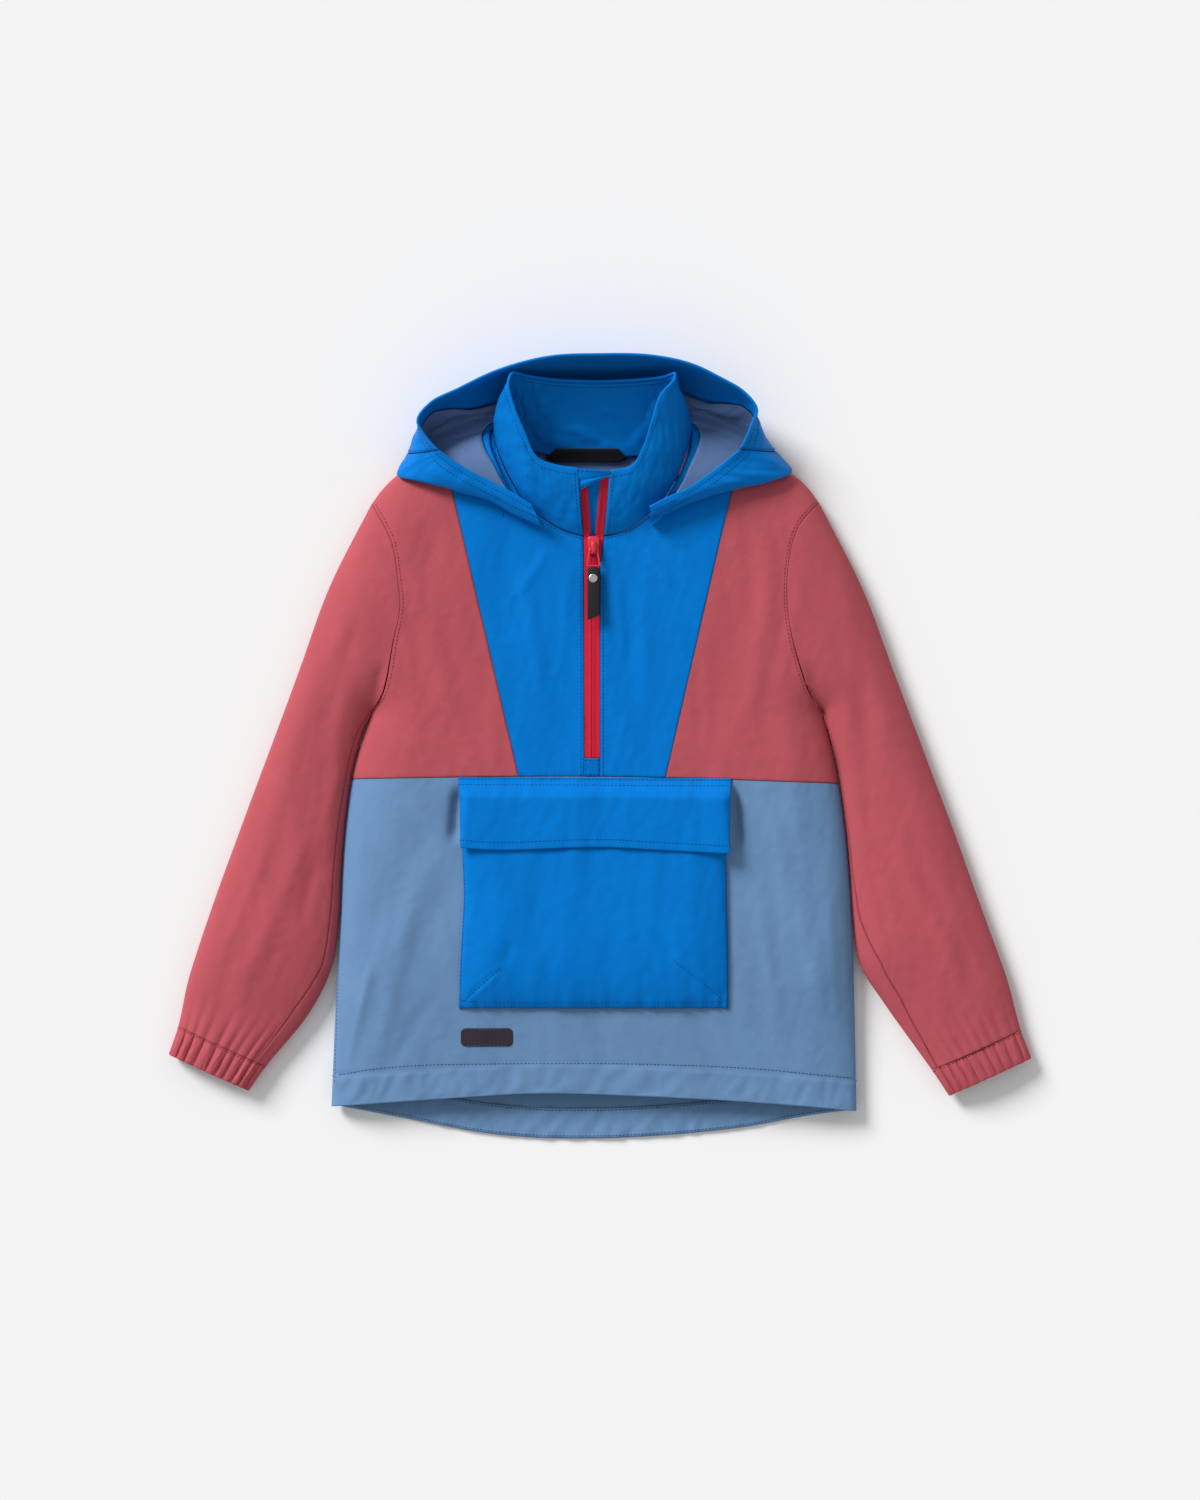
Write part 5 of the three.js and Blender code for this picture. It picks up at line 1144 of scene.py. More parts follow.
def hood_share(u, row):
    """How far up the hood a row of its cloth lies."""
    near_end = np.minimum(u, 1 - u)
    start = mix(0.66, 0.79, smooth(near_end * 8 - 0.4))
    start = mix(start, 0.46, smooth((near_end - 0.32) / 0.12))
    shrink = np.minimum(1, (start - 0.03) / 0.63)
    shares = np.stack([t * shrink for t in FIXED_SHARES] + [start, (1 + start) / 2, np.ones_like(u)], -1)
    k = np.minimum(row.astype(int), BRIM_ROW - 1)
    low = np.take_along_axis(shares, k[..., None], -1)[..., 0]
    high = np.take_along_axis(shares, k[..., None] + 1, -1)[..., 0]
    return mix(low, high, row - k)


def hood_relief(u, row):
    x, y = u * 700, row * 14
    soft = 1.1 * creased(x, y, 0.2, 70, 22, 81) + 0.6 * creased(x, y, 1.2, 40, 12, 83)
    return soft + 0.12 * noise(x / 6, y / 6, 85)


def hood_layer(columns, rows, depth, relief=1.0, inset=0.0):
    """A layer of the hood: its points and outward normals, at a depth below the outer face."""
    uu, rr = np.meshgrid(columns, rows)
    share = hood_share(uu, rr)
    outward = surface_normal(hood_point, uu, share, HOOD_STEP)
    grid = hood_point(uu, share)
    if inset:
        inwards = unit((spline(hood_strips[0], columns) - spline(hood_strips[3], columns)) * [1, 1, 0])
        inwards[:, 2] = 0.25
        turn = smooth((rr - 2) / 2) * (1 - 0.8 * smooth(rr - 6))
        grid = grid + inwards[None] * (inset * turn)[..., None]
    soft = hood_relief(uu, rr) * relief * smooth((rr - 1.5) / 1.5) * smooth((BRIM_ROW - rr) / 0.8)
    grid = grid + outward * (soft - depth)[..., None]
    return grid, outward


def hood_shell(name, start, end, node, sewn):
    """A panel of the hood's outer cloth, turned over at the brim."""
    columns = with_edges(np.linspace(0, 1, round((end - start) * 9) + 1), 25 * (end - start))
    rows = np.concatenate([np.linspace(0, 1, 4)[:-1], np.linspace(1, BRIM_ROW, 60)])
    grid, outward = hood_layer(mix(start, end, columns) / HOOD_SPANS, rows, 0.0)
    grid, outward = turned(grid, outward)
    wall(name, grid, outward, "cloth_blue", node, 13, sewn=sewn, normals=outward)


def hood_facing():
    columns = np.linspace(0.05, HOOD_SPANS - 0.05, 261) / HOOD_SPANS
    rows = np.linspace(FACING_ROW, BRIM_ROW - 0.07, 22)
    grid, outward = hood_layer(columns, rows, FACING_DEPTH, 0.9)
    sewn = {"top": 1, "bottom": 0.6}
    wall("hood_facing_inside", grid, -outward, "cloth_blue", "hood_facing", 14, sewn=sewn, normals=-outward)


def hood_lining():
    columns = np.linspace(1.0, HOOD_SPANS - 1.0, 261) / HOOD_SPANS
    rows = np.linspace(1, FACING_ROW, 52)
    grid, outward = hood_layer(columns, rows, LINING_DEPTH, 0.9, LINING_INSET)
    own = facing_side(normals_of(grid), -outward)
    wall(
        "hood_lining_inside", grid, -outward, "lining_slate", "hood_lining", 15, thick=0.6,
        sewn={"bottom": 0.8}, normals=own,
    )


def zip_height(y):
    """Height along the zip: on the front, then up the collar's front edge."""
    edge, top = (collar_point(np.array([0.0]), np.array([v]))[0] for v in (0.0, 1.0))
    level = np.minimum(y, edge[1])
    low = top_height(np.full_like(y, -6.0), level) + LAYER_GAP * smooth((y - 150) / 20)
    high = mix(edge[2], top[2], (y - edge[1]) / (top[1] - edge[1]))
    step = top_height(np.array([-6.0]), edge[1:2])[0] + LAYER_GAP - edge[2]
    return np.where(y < edge[1], low, high + step * (1 - smooth((y - edge[1]) / 25)))


def zip_tape(tag, outer, inner, top):
    """Woven tape with a firm ridge along its inner edge."""
    y, u = np.linspace(ZIP_BOTTOM, top, 150), np.array([0, 0.04, 0.12, 0.3, 0.5, 0.66, 0.76, 0.86, 0.95, 1])
    x = mix(zip_at(outer, y)[:, None], zip_at(inner, y)[:, None], u[None])
    ridge = 0.45 * smooth((u - 0.6) / 0.15) * smooth((1.02 - u) / 0.08)
    z = zip_height(y)[:, None] - TAPE_LOW + ridge[None]
    grid = np.stack([x, np.broadcast_to(y[:, None], x.shape), z], -1)
    wall(f"zip_band_{tag}", grid, UPWARDS, "zip_red", f"zip_tape_{tag}", 16, puckers=0, sewn={"right": 0.15})


def wind_flap():
    """The blue flap behind the zip."""
    y, u = np.linspace(90, 222, 90), even(12)
    left, right = zip_at(LEFT_OUTER, y) + 0.4, zip_at(RIGHT_OUTER, y) - 0.4
    x = mix(left[:, None], right[:, None], u[None])
    z = np.broadcast_to((zip_height(y) - 2.2)[:, None], x.shape) - 0.5 * np.sin(np.pi * u)[None]
    grid = np.stack([x, np.broadcast_to(y[:, None], x.shape), z], -1)
    wall("zip_flap", grid, UPWARDS, "cloth_blue", "wind_flap", 17)


def chin_guard():
    """The folded blue facing over the top of the zip."""
    u, v = even(26), with_edges(even(16), 13, first=True, last=False)
    uu, vv = np.meshgrid(u, v)
    y = mix(mix(227.4, 225.6, uu), mix(210, 221.5, uu), vv)
    x = mix(zip_at(LEFT_OUTER, y) - 0.6, zip_at(RIGHT_OUTER, y) + 0.6, uu)
    crease = -0.8 * np.exp(-(((vv - 0.55 - 0.15 * uu) / 0.09) ** 2))
    swell = 0.5 * np.exp(-(((vv - 0.75) / 0.12) ** 2))
    z = zip_height(y) + 1.5 + 1.4 * np.sin(np.pi * uu) + crease + swell
    grid = np.stack([x, y, z], -1)
    wall("zip_guard", grid, UPWARDS, "cloth_blue", "chin_guard", 18, sewn={"top": 0.5}, thick=0.7)


def zip_end_patch():
    top, bottom = ZIP_BOTTOM + 0.1, yoke_seam.at(0.5)[1] + HALF
    u, v = with_edges(even(12), 13), with_edges(even(14), 15)
    y = mix(bottom, top, v)
    x = mix(LEFT.zip_edge(y)[:, None] + 0.2, RIGHT.zip_edge(y)[:, None] - 0.2, u[None])
    plan = np.stack([x, np.broadcast_to(y[:, None], x.shape)], -1)
    sewn = {"left": 0.6, "right": 0.6, "top": 0.8, "bottom": 0.6}
    grid = laid(plan, top_height, 0.1)
    wall("zip_end", grid, UPWARDS, "cloth_blue", "zip_end_patch", 19, thick=0.6, sewn=sewn)


def pocket_lift(u, v):
    width = POCKET[0][2] - POCKET[0][1]
    height = POCKET[0][0] - POCKET[-1][0]
    sewn_from = (POCKET[0][0] - POCKET_SEWN_Y) / height
    side = quarter_round(np.minimum(u, 1 - u) * width, 40)
    rise = mix(mix(0.72, 1, side), side, smooth((v - sewn_from * 0.55) / (sewn_from * 0.6)))
    return POCKET_LOFT * rise * quarter_round((1 - v) * height, 42)


def dart_relief(x, y):
    """The tucks stitched into the pocket's lower corners."""
    height = np.zeros(np.shape(x))
    for ax, ay, bx, by in DARTS:
        out = unit(np.array([by - ay, ax - bx], float)) * 2.4
        tuck = [ax, ay, bx, by, 2.6, -1.0]
        beside = [ax + out[0], ay + out[1], bx + out[0], by + out[1], 6, 0.7]
        height += folds(x, y, [tuck, beside])
        height += folds(x, y, [[bx, by, bx + (bx - ax) * 0.5, by + (by - ay) * 0.9, 11, -0.8]])
    return height


def pocket_panel():
    u, v = close_at_ends(120), with_edges(even(84), 171, first=False)
    y = mix(POCKET[0][0], POCKET[-1][0], v)
    x = mix(table_at(POCKET, 1, y)[:, None], table_at(POCKET, 2, y)[:, None], u[None])
    plan = np.stack([x, np.broadcast_to(y[:, None], x.shape)], -1)
    yy = plan[..., 1]
    own = 0.65 * np.clip(creased(x, yy, 1.5, 120, 24, 91), -0.5, 1)
    own = own + 0.15 * creased(x, yy, 1.2, 34, 10, 92) + dart_relief(x, yy)
    low = np.exp(-(yy - POCKET[-1][0]) / 12)
    own = own + 1.3 * low * creased(x, yy, 1.57, 40, 6.5, 93)
    fade = np.minimum(1, np.minimum(u, 1 - u) * 40)[None]
    lift = PATCH_GAP + 1.2 + pocket_lift(u[None], v[:, None]) + own * fade
    grid = laid(plan, top_height)
    grid[..., 2] += lift
    sides = smooth((v - 0.2) / 0.1)
    sewn = {"left": sides, "right": sides, "bottom": 1}
    wall("pocket", grid, UPWARDS, "cloth_blue", "pocket_panel", 20, sewn=sewn)


def pocket_flap():
    edge = Outline(FLAP_EDGE)
    u, v = with_edges(even(120), 220), with_edges(even(34), 56, last=False)
    top = mix(np.array(FLAP_TOP[0], float), np.array(FLAP_TOP[1], float), u[:, None])
    plan = mix(top[None], edge.at(u)[None], v[:, None, None])
    x, y = plan[..., 0], plan[..., 1]
    full = PATCH_GAP + 1.2 + POCKET_LOFT + FLAP_CLEAR + 1.2
    raised = mix(PATCH_GAP + 0.9, full, smooth(v / 0.3))[:, None]
    tucks = 0.5 * np.exp(-v * 5)[:, None] * creased(x, y, 1.57, 40, 9, 95)
    own = 0.5 * creased(x, y, 1.5, 90, 26, 97) + 0.2 * creased(x, y, 1.2, 30, 9, 98) + tucks
    grid = laid(plan, top_height)
    grid[..., 2] += raised + own * smooth(v / 0.05)[:, None]
    normals = facing_side(normals_of(grid), UPWARDS)
    grid, normals = turned(grid, normals, radius=0.9, run=3)
    sewn = {"top": 1, "left": 0.5, "right": 0.5}
    wall("flap", grid, UPWARDS, "cloth_blue", "pocket_flap", 21, thick=0.6, sewn=sewn, normals=normals)


def badge():
    """A bare printed patch with rounded corners."""
    u, v = with_edges(even(44), 43), with_edges(even(18), 15)
    q = (v - 0.5) * BADGE["height"]
    past = np.maximum(0, np.abs(q) - (BADGE["height"] / 2 - BADGE["corner"]))
    half = BADGE["length"] / 2 - BADGE["corner"] + np.sqrt(np.maximum(BADGE["corner"] ** 2 - past**2, 0))
    x = BADGE["x"] + (2 * u[None] - 1) * half[:, None]
    plan = np.stack([x, np.broadcast_to((BADGE["y"] + q)[:, None], x.shape)], -1)
    wall(
        "bare_badge", laid(plan, top_height, 0.75), UPWARDS, "badge_black", "badge", 22, thick=0.6,
        sewn=ALL_ROUND, puckers=0, sink=0.35,
    )


def neck_label():
    """A bare woven label across the foot of the inner collar."""
    u, v = with_edges(even(40), 55), np.array([0, 0.04, 0.1, 0.2, 0.3, 0.4, 0.5, 0.6, 0.7, 0.8, 0.9, 0.96, 1])
    table = np.array(LABEL, float)
    left, right, y, z = (np.interp(v, [0, 0.4, 1], table[:, k]) for k in range(4))
    x = mix(left[:, None], right[:, None], u[None])
    grid = np.stack([x, np.broadcast_to(y[:, None], x.shape), z[:, None] + 0.25 * np.sin(u * 9)[None]], -1)
    wall(
        "bare_label", grid, UPWARDS, "rubber_black", "neck_label", 23, thick=0.5, sewn=ALL_ROUND,
        puckers=0, sink=0.3,
    )


for side in (LEFT, RIGHT):
    front_side(side)
    front_centre(side)
    sleeve_top(side)
    sleeve_under(side)
    cuff(side)
front_lower()
back_upper()
back_lower()
back_hem()
neck_lining()
collar_outer()
collar_inner()
HOOD_SEAM_HALF = 0.02
crown = [HOOD_SEAM_LEFT + HOOD_SEAM_HALF, HOOD_SEAM_RIGHT - HOOD_SEAM_HALF]
hood_shell("hood_left", 0, HOOD_SEAM_LEFT - HOOD_SEAM_HALF, "hood_side_l", {"top": 1, "right": 1})
hood_shell("hood_middle", *crown, "hood_crown", {"top": 1, "left": 1, "right": 1})
hood_shell("hood_right", HOOD_SEAM_RIGHT + HOOD_SEAM_HALF, HOOD_SPANS, "hood_side_r", {"top": 1, "left": 1})
hood_facing()
hood_lining()
zip_tape("l", LEFT_OUTER, LEFT_INNER, TAPE_TOP_LEFT)
zip_tape("r", RIGHT_OUTER, RIGHT_INNER, TAPE_TOP_RIGHT)
wind_flap()
chin_guard()
zip_end_patch()
pocket_panel()
pocket_flap()
badge()
neck_label()


# Hard parts of the zip and the snaps
SLIDER_TOP = float(zip_height(np.array([SLIDER["y"]]))[0]) - TAPE_LOW + 0.7 + SLIDER["thick"]
HINGE = np.array([SLIDER["x"], SLIDER["y"] - HINGE_BACK, SLIDER_TOP + HINGE_HEIGHT])


def pulled(points):
    """Puts the pull's own points, drawn from its hinge, in place: it leans down the zip."""
    c, s = math.cos(-PULL_TILT), math.sin(-PULL_TILT)
    x, y, z = np.asarray(points, float).T
    return np.stack([x, y * c - z * s, y * s + z * c], -1) + HINGE


def bevelled(name, outline, thick, z, bevel, finish, node, place=None, body="garment"):
    """A plate with rounded edges."""
    shape = bmesh.new()
    face = shape.faces.new([shape.verts.new((x, y, z)) for x, y in outline])
    grown = bmesh.ops.extrude_face_region(shape, geom=[face])["geom"]
    for part in grown:
        if isinstance(part, bmesh.types.BMVert):
            part.co.z += thick
    bmesh.ops.recalc_face_normals(shape, faces=shape.faces)
    bmesh.ops.bevel(
        shape, geom=list(shape.edges), offset=bevel, segments=3, profile=0.5, affect="EDGES",
        clamp_overlap=True,
    )
    bmesh.ops.triangulate(shape, faces=[f for f in shape.faces if len(f.verts) > 4])
    points = np.array([v.co[:] for v in shape.verts])
    faces = [[v.index for v in f.verts] for f in shape.faces]
    shape.free()
    obj = as_object(name, place(points) if place else points, faces, finish)
    obj.data.set_sharp_from_angle(angle=math.radians(40))
    return settle(obj, finish, node, body=body)


def bar(name, path, half, depth, aside, closed, finish, node, place=None, body="garment"):
    """A rounded bar that follows a path in one plane; aside is the direction square to it."""
    path = np.asarray(path, float)
    if closed:
        along = np.roll(path, -1, 0) - np.roll(path, 1, 0)
    else:
        along = np.gradient(path, axis=0)
    out = unit(np.cross(unit(along), aside))
    angles = np.linspace(0, 2 * math.pi, 14, endpoint=False)
    c, s = (np.sign(f) * np.abs(f) ** 0.7 for f in (np.cos(angles), np.sin(angles)))
    rings = path[:, None] + out[:, None] * (half * c)[None, :, None]
    rings = rings + np.asarray(aside, float) * (depth * s)[None, :, None]
    rows, columns = rings.shape[:2]
    number = np.arange(rows * columns).reshape(rows, columns)
    after = np.roll(number, -1, 0) if closed else number[1:]
    before = number if closed else number[:-1]
    faces = np.stack([before, after, np.roll(after, -1, 1), np.roll(before, -1, 1)], -1)
    faces = faces.reshape(-1, 4).tolist()
    if not closed:
        faces += [number[0].tolist(), number[-1, ::-1].tolist()]
    points = rings.reshape(-1, 3)
    obj = as_object(name, place(points) if place else points, faces, finish)
    outwards(obj)
    return settle(obj, finish, node, body=body)


def outwards(obj):
    shape = bmesh.new()
    shape.from_mesh(obj.data)
    bmesh.ops.recalc_face_normals(shape, faces=shape.faces)
    shape.to_mesh(obj.data)
    shape.free()


def dome(name, profile, foot, up, finish, node, place=None, body="garment", turns=40):
    """A round cap turned from a profile of radius and height, standing on a foot."""
    up = unit(np.asarray(up, float))
    side = unit(np.cross(up, [0.3, 1.0, 0.2]))
    front = np.cross(up, side)
    angles = np.linspace(0, 2 * math.pi, turns, endpoint=False)
    ring = np.cos(angles)[:, None] * side + np.sin(angles)[:, None] * front
    points = np.concatenate([foot + radius * ring + height * up for radius, height in profile])
    number = np.arange(len(points)).reshape(-1, turns)
    faces = np.stack([number[:-1], np.roll(number[:-1], -1, 1), np.roll(number[1:], -1, 1), number[1:]], -1)
    faces = faces.reshape(-1, 4).tolist() + [number[0, ::-1].tolist(), number[-1].tolist()]
    obj = as_object(name, place(points) if place else points, faces, finish)
    outwards(obj)
    obj.data.set_sharp_from_angle(angle=math.radians(50))
    return settle(obj, finish, node, body=body)


def rounded(corners, radius, steps=5, closed=True):
    """A path with rounded corners."""
    corners = [np.array(c, float) for c in corners]
    path = []
    count = len(corners)
    for k, corner in enumerate(corners):
        if not closed and k in (0, count - 1):
            path.append(corner)
            continue
        before, after = corners[k - 1], corners[(k + 1) % count]
        cut = min(radius, 0.45 * np.linalg.norm(before - corner), 0.45 * np.linalg.norm(after - corner))
        start, end = corner + unit(before - corner) * cut, corner + unit(after - corner) * cut
        for t in np.linspace(0, 1, steps):
            path.append(mix(mix(start, corner, t), mix(corner, end, t), t))
    return np.array(path)


def slider():
    x, y, length, width, tail = (SLIDER[key] for key in ("x", "y", "length", "width", "tail"))
    outline = [
        [x - tail / 2, y - length / 2], [x + tail / 2, y - length / 2], [x + width / 2, y + length * 0.1],
        [x + width / 2, y + length * 0.4], [x + width * 0.3, y + length / 2],
        [x - width * 0.3, y + length / 2],
        [x - width / 2, y + length * 0.4], [x - width / 2, y + length * 0.1],
    ]
    thick = SLIDER["thick"]
    bevelled("slider_body", outline, thick, SLIDER_TOP - thick, 0.8, "slider_red", "slider")


def bridge():
    half, high, thick = BRIDGE["length"] / 2, BRIDGE["height"], BRIDGE["wall"]
    t = thick / 2
    leg = [[t - half, -BRIDGE_LEG], [t - half, high * 0.6], [-half * 0.6, high - t]]
    corners = leg + [[-a, b] for a, b in reversed(leg)]
    path = [[SLIDER["x"], SLIDER["y"] - 2 + a, SLIDER_TOP + b + BRIDGE_LIFT] for a, b in corners]
    path = rounded(path, 2, closed=False)
    bar("slider_arch", path, t, BRIDGE["width"] / 2, [1, 0, 0], False, "slider_red", "slider_bridge")


def pull():
    wide, low, t = LINK["top"] / 2 - LINK["bar"] / 2, LINK["bottom"] / 2 - LINK["bar"] / 2, LINK["bar"] / 2
    end = t - LINK["length"]
    path = rounded([[-wide, 0.8 - t, 0], [wide, 0.8 - t, 0], [low, end, 0], [-low, end, 0]], 0.9)
    bar("pull_ring", path, t, LINK["thick"] / 2, [0, 0, 1], True, "slider_red", "pull_link", pulled, "pull")
    left, right, corner = TAB["left"], TAB["right"], TAB["corner"]
    outline = [
        [left, -TAB["left_end"]], [right, -TAB["right_end"]], [right, -TAB["start"] - corner],
        [right - corner, -TAB["start"]], [left + corner, -TAB["start"]], [left, -TAB["start"] - corner],
    ]
    thick = TAB["thick"]
    bevelled("pull_rubber", outline, thick, -thick / 2, 0.5, "rubber_black", "pull_tab", pulled, "pull")
    r, h = RIVET["radius"], RIVET["thick"]
    profile = [
        (r - 0.1, 0), (r, 0.2 * h), (r, 0.5 * h), (r * 0.9, 0.85 * h), (r * 0.62, h), (r * 0.5, 0.9 * h),
        (r * 0.1, 0.8 * h),
    ]
    foot = [RIVET["x"], -RIVET["y"], TAB["thick"] / 2 + 0.02]
    dome("pull_stud", profile, foot, [0, 0, 1], "metal_silver", "pull_rivet", pulled, "pull")


def snap(tag, u):
    uu = np.array([u])
    share = hood_share(uu, np.array([SNAP_ROW]))
    inward = -surface_normal(hood_point, uu, share, HOOD_STEP)[0]
    foot = hood_point(uu, share)[0] + inward * 3.4
    profile = [
        (3.0, 0), (3.2, 0.25), (3.2, 0.7), (2.9, 1.1), (2.2, 1.25), (1.7, 1.2), (1.4, 0.85), (0.2, 0.8),
    ]
    dome(f"snap_cap_{tag}", profile, foot, inward, "metal_silver", f"snap_{tag}")


slider()
bridge()
pull()
snap("l", 0.45 / HOOD_SPANS)
snap("r", 1 - 0.45 / HOOD_SPANS)


# Stitches
TURNED_ROWS = 7
LOWEST_THREAD = 0.32


def line_on(name, edge, distance, start=0.0, end=1.0, fold=False):
    """Points along a wall at a distance inside one of its edges."""
    outer = walls[name]["outer"]
    grid = outer[:-TURNED_ROWS] if fold else outer
    if edge in ("left", "right"):
        grid = np.swapaxes(grid, 0, 1)
    if edge in ("bottom", "right"):
        grid = grid[::-1]
    reach = lengths(grid, 0)
    columns = range(round(start * (grid.shape[1] - 1)), round(end * (grid.shape[1] - 1)) + 1)
    return np.array([[np.interp(distance, reach[:, k], grid[:, k, a]) for a in range(3)] for k in columns])


surfaces = {}


def laid_on(name, plan):
    """A plan line dropped onto the top of a wall."""
    if name not in surfaces:
        mesh = walls[name]["object"].data
        corners, faces = [v.co[:] for v in mesh.vertices], [p.vertices[:] for p in mesh.polygons]
        surfaces[name] = BVHTree.FromPolygons(corners, faces)
    points = []
    for x, y in plan:
        hit = surfaces[name].ray_cast(((x - MIDDLE_X) / 1000, y / 1000, 0.3), (0, 0, -1))[0]
        if hit:
            points.append([hit.x * 1000 + MIDDLE_X, y, hit.z * 1000])
    return np.array(points)


def ruled(ax, ay, bx, by, step=1.5):
    count = max(2, round(math.hypot(bx - ax, by - ay) / step))
    t = np.linspace(0, 1, count + 1)
    return np.stack([mix(ax, bx, t), mix(ay, by, t)], -1)


DOWN_ZIP_LEFT = (-15.2, 171, -15.2, -21)
DOWN_ZIP_RIGHT = (3.0, 171, 3.0, -21)
end_left, end_right = zip_at(LEFT_OUTER, 0) + 1.3, zip_at(RIGHT_OUTER, 0) - 1.3
END_TOP, END_BOTTOM = -9.6, -21.3
# Straight rows of stitches laid on a piece: from x, y to x, y
RULED = [
    ("blue_centre_l", *DOWN_ZIP_LEFT), ("blue_centre_r", *DOWN_ZIP_RIGHT),
    ("zip_end", end_left, END_TOP, end_right, END_TOP),
    ("zip_end", end_left, END_BOTTOM, end_right, END_BOTTOM),
    ("zip_end", end_left, END_TOP, end_left, END_BOTTOM),
    ("zip_end", end_right, END_TOP, end_right, END_BOTTOM),
]
# Rows that follow an edge of a piece: how far inside it, and from which share of it to which
BLUE_ROWS = [
    ("pocket", "bottom", 2.2), ("pocket", "bottom", 7.5, 0.02, 0.98), ("pocket", "left", 2.2, 0.3),
    ("pocket", "right", 2.2, 0.3), ("flap", "top", 2.0), ("flap", "top", 7.5, 0.01, 0.99),
    ("flap", "bottom", 5.5, 0, 1, True), ("collar", "bottom", 4.5, 0, 1, True),
    ("collar", "left", 3.0, 0, 0.8),
    ("collar", "right", 3.0, 0, 0.8), ("collar_inside", "bottom", 3.0),
    ("blue_centre_l", "top", 2.2, 0, 0.62),
    ("blue_centre_r", "top", 2.2, 0, 0.62), ("hood_facing_inside", "top", 2.0), ("zip_guard", "top", 1.8),
    ("zip_guard", "bottom", 1.8),
]
for hood_part in ("hood_left", "hood_middle", "hood_right"):
    BLUE_ROWS += [(hood_part, "bottom", gap, 0, 1, True) for gap in (3.5, 9.5)]
BLUE_ROWS += [("hood_middle", "left", 2.0, 0.15, 0.9), ("hood_middle", "right", 2.0, 0.15, 0.9)]
RED_ROWS = [
    ("gathered_cuff_l", "top", 1.6), ("gathered_cuff_r", "top", 1.6),
    ("red_side_l", "right", 3.2, 0.02, 0.72),
    ("red_side_r", "right", 3.2, 0.02, 0.72),
]
SLATE_ROWS = [
    ("slate_front", "left", 3.0, 0.03, 0.86), ("slate_back_hem", "bottom", 1.8),
    ("slate_back_hem", "top", 2.0),
    ("slate_back", "bottom", 24), ("bare_badge", "top", 1.4, 0.1, 0.9),
    ("bare_badge", "bottom", 1.4, 0.1, 0.9),
]
stitch_lines = {
    "blue": [laid_on(name, ruled(*ends)) for name, *ends in RULED] + [line_on(*row) for row in BLUE_ROWS]
    + [laid_on("pocket", ruled(*dart)) for dart in DARTS],
    "red": [line_on(*row) for row in RED_ROWS],
    "slate": [laid_on("slate_front", hem_stitch.at(np.linspace(0.006, 0.994, 280)))]
    + [line_on(*row) for row in SLATE_ROWS],
}


def lines_object(name, lines):
    """Lines as a mesh of edges only."""
    mesh = bpy.data.meshes.new(name)
    points, edges = [], []
    for line in lines:
        edges += [(len(points) + k, len(points) + k + 1) for k in range(len(line) - 1)]
        points += [[x, y, max(z, LOWEST_THREAD)] for x, y, z in line.tolist()]
    mesh.from_pydata(in_metres(points), edges, [])
    return in_scene(name, mesh)


def beads_tree(name):
    """Lays small rounded beads along lines: stitches in a seam, or the teeth of a zip."""
    tree = bpy.data.node_groups.new(name, "GeometryNodeTree")
    tree.interface.new_socket("Lines", in_out="INPUT", socket_type="NodeSocketGeometry")
    for label in ("Pitch", "Length", "Width", "Height", "Lean"):
        tree.interface.new_socket(label, in_out="INPUT", socket_type="NodeSocketFloat")
    tree.interface.new_socket("Seed", in_out="INPUT", socket_type="NodeSocketInt")
    tree.interface.new_socket("Finish", in_out="INPUT", socket_type="NodeSocketMaterial")
    tree.interface.new_socket("Beads", in_out="OUTPUT", socket_type="NodeSocketGeometry")
    given = tree.nodes.new("NodeGroupInput").outputs
    line = add(tree, "GeometryNodeMeshToCurve", Mesh=given["Lines"]).outputs[0]
    points = add(tree, "GeometryNodeCurveToPoints", {"mode": "LENGTH"}, Curve=line, Length=given["Pitch"])
    size = add(tree, "CombineXYZ", X=given["Length"], Y=given["Width"], Z=given["Height"]).outputs[0]
    ball = add(tree, "GeometryNodeMeshUVSphere", Segments=6, Rings=5, Radius=0.5).outputs[0]
    bead = add(tree, "GeometryNodeTransform", Geometry=ball, Scale=size).outputs[0]
    lean = add(tree, "CombineXYZ", Z=given["Lean"]).outputs[0]
    turn = add(
        tree, "FunctionNodeAlignRotationToVector", {"axis": "X"}, Vector=points.outputs["Tangent"],
    ).outputs[0]
    leant = add(
        tree, "FunctionNodeRotateRotation", {"rotation_space": "LOCAL"}, Rotation=turn, Rotate_By=lean,
    ).outputs[0]
    wobble = add(
        tree, "FunctionNodeRandomValue", {"data_type": "FLOAT"}, n2=0.86, n3=1.1, Seed=given["Seed"],
    ).outputs[1]
    laid_beads = add(
        tree, "GeometryNodeInstanceOnPoints", Points=points.outputs["Points"], Instance=bead,
        Rotation=leant, Scale=wobble,
    ).outputs[0]
    real = add(tree, "GeometryNodeRealizeInstances", Geometry=laid_beads).outputs[0]
    soft = add(tree, "GeometryNodeSetShadeSmooth", Geometry=real).outputs[0]
    done = add(tree, "GeometryNodeSetMaterial", Geometry=soft, Material=given["Finish"]).outputs[0]
    out = tree.nodes.new("NodeGroupOutput")
    tree.links.new(done, out.inputs["Beads"])
    return tree


def beads(name, tree, lines, finish, slot, **values):
    """The beads along some lines, as one plain mesh."""
    obj = lines_object(f"{name}_lines", lines)
    modifier = obj.modifiers.new("beads", "NODES")
    modifier.node_group = tree
    sockets = {item.name: item.identifier for item in tree.interface.items_tree if item.in_out == "INPUT"}
    for label, value in {**values, "Finish": finishes[finish]}.items():
        modifier[sockets[label]] = value
    bpy.context.view_layer.update()
    made = obj.evaluated_get(bpy.context.evaluated_depsgraph_get())
    mesh = bpy.data.meshes.new_from_object(made)
    mesh.name = name
    bpy.data.objects.remove(obj)
    settle(in_scene(name, mesh), slot)


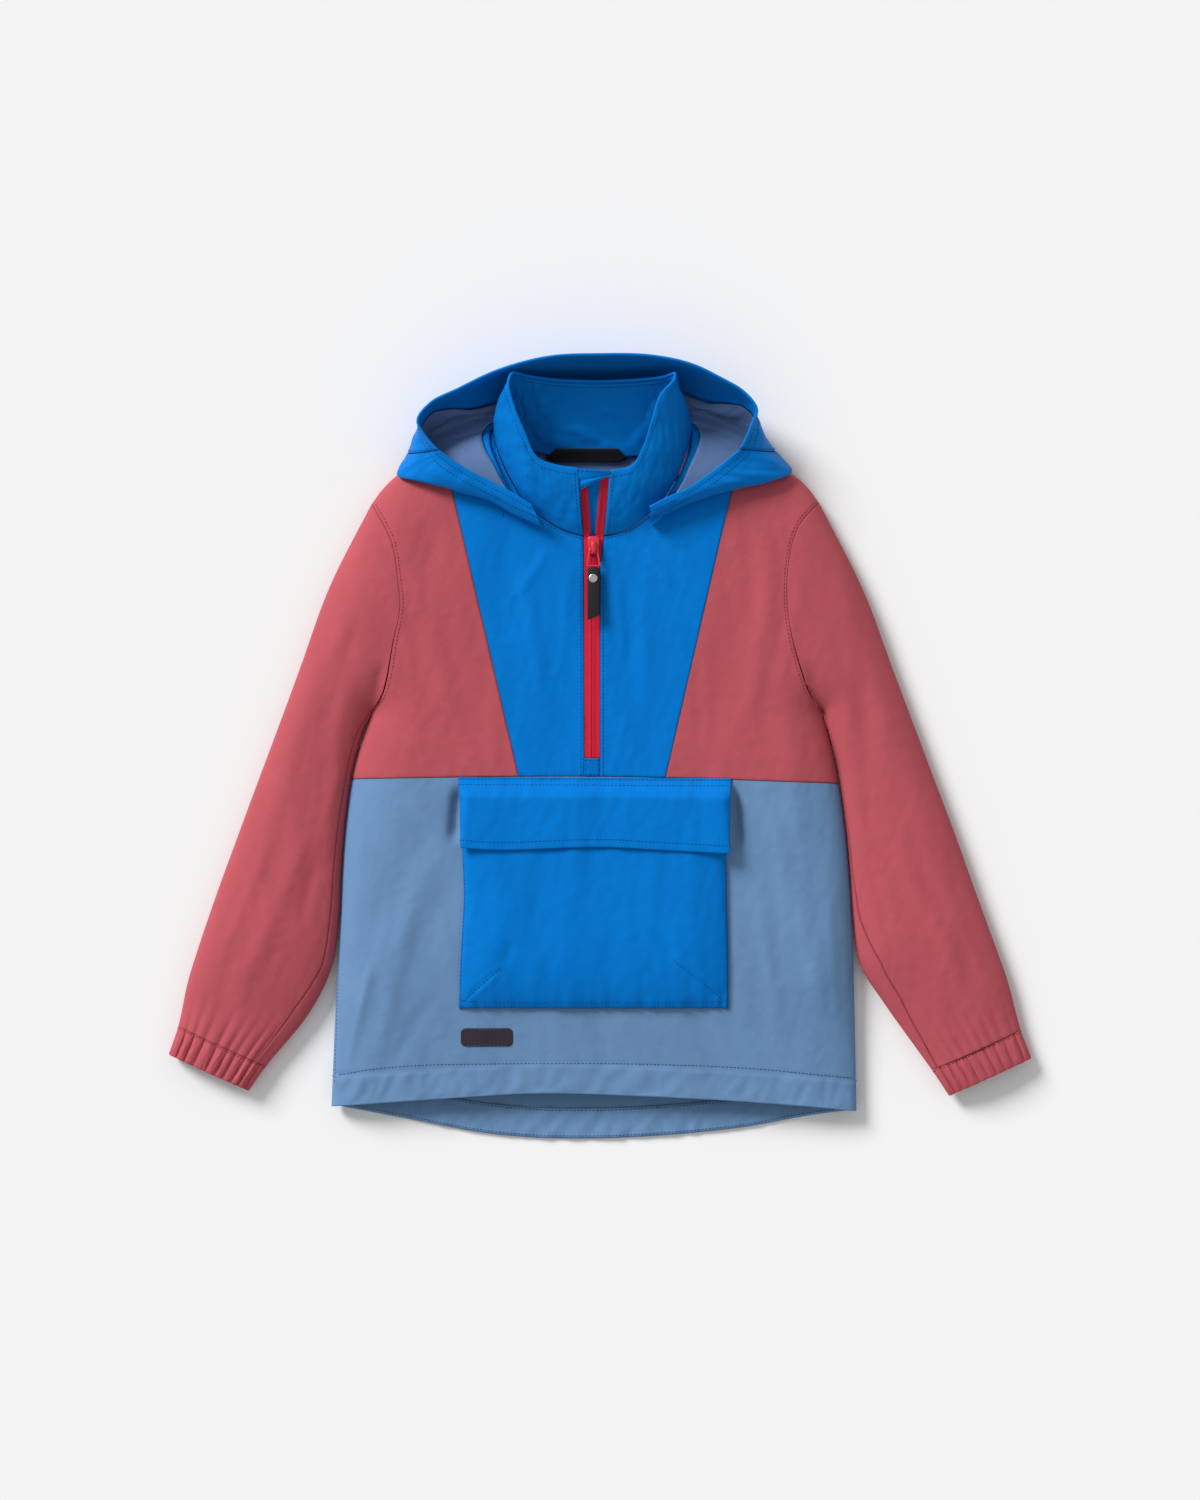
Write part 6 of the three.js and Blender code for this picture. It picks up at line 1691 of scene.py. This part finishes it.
bead_tree = beads_tree("beads_on_lines")
for thread, lines in stitch_lines.items():
    beads(
        f"stitches_{thread}", bead_tree, lines, f"thread_{thread}", SLOT_OF_THREAD[thread],
        Pitch=0.0031, Length=0.0025, Width=0.0008, Height=0.0006, Lean=0.06, Seed=7,
    )
tooth_lines = []
for column, shift, top in ((LEFT_INNER, 0.35, TAPE_TOP_LEFT), (RIGHT_INNER, -0.35, TAPE_TOP_RIGHT)):
    y = np.linspace(ZIP_BOTTOM + 1, top - 2, 170)
    y = y[(y < SLIDER["y"] - 9) | (y > SLIDER["y"] + 9)]
    for part in (y[y < SLIDER["y"]], y[y > SLIDER["y"]]):
        heights = zip_height(part) - TAPE_LOW - 0.1
        tooth_lines.append(np.stack([zip_at(column, part) + shift, part, heights], -1))
beads(
    "zip_teeth", bead_tree, tooth_lines, "zip_red", "zip_red",
    Pitch=0.0014, Length=0.0008, Width=0.002, Height=0.0011, Lean=0.0, Seed=3,
)

# Table, daylight from the upper left, and the camera straight above
TABLE_HALF = 4
TABLE_Z = -0.0006
table_mesh = bpy.data.meshes.new("table_top")
table_corners = [(x * TABLE_HALF, y * TABLE_HALF, TABLE_Z) for x, y in ((-1, -1), (1, -1), (1, 1), (-1, 1))]
table_mesh.from_pydata(table_corners, [], [(0, 1, 2, 3)])
table_top = in_scene("table_top", table_mesh)
paper, tree = blank_finish("white_paper")
place = add(tree, "TexCoord").outputs["Object"]
fibre = add(tree, "TexNoise", Vector=place, Scale=300, Detail=3).outputs["Fac"]
shade = blend(tree, fibre, (0.885, 0.885, 0.885, 1), (0.895, 0.895, 0.895, 1))
finished(tree, add(tree, "BsdfPrincipled", Base_Color=shade, Roughness=0.9, Specular_IOR_Level=0.1))
table_mesh.materials.append(paper)

SKY = 0.49
SUN = 3.4
SUN_HEIGHT = 29
SUN_FROM = 135
SUN_SPREAD = 22
CAMERA_AT = (-0.00009, -0.00123, 3.432)
scene = bpy.context.scene
scene.view_settings.view_transform = "Standard"
world = bpy.data.worlds.new("studio")
world.use_nodes = True
world.node_tree.nodes["Background"].inputs["Color"].default_value = (1, 1, 1, 1)
world.node_tree.nodes["Background"].inputs["Strength"].default_value = SKY
scene.world = world
sun = bpy.data.lights.new("window_light", "SUN")
sun.energy = SUN
sun.angle = math.radians(SUN_SPREAD)
sun_object = in_scene("window_light", sun)
sun_object.rotation_euler = (0, math.radians(90 - SUN_HEIGHT), math.radians(SUN_FROM))
camera = bpy.data.cameras.new("camera")
camera.lens = 100
camera.sensor_width = 36
camera.sensor_fit = "AUTO"
camera.clip_end = 20
camera_object = in_scene("camera", camera)
camera_object.location = CAMERA_AT
scene.camera = camera_object
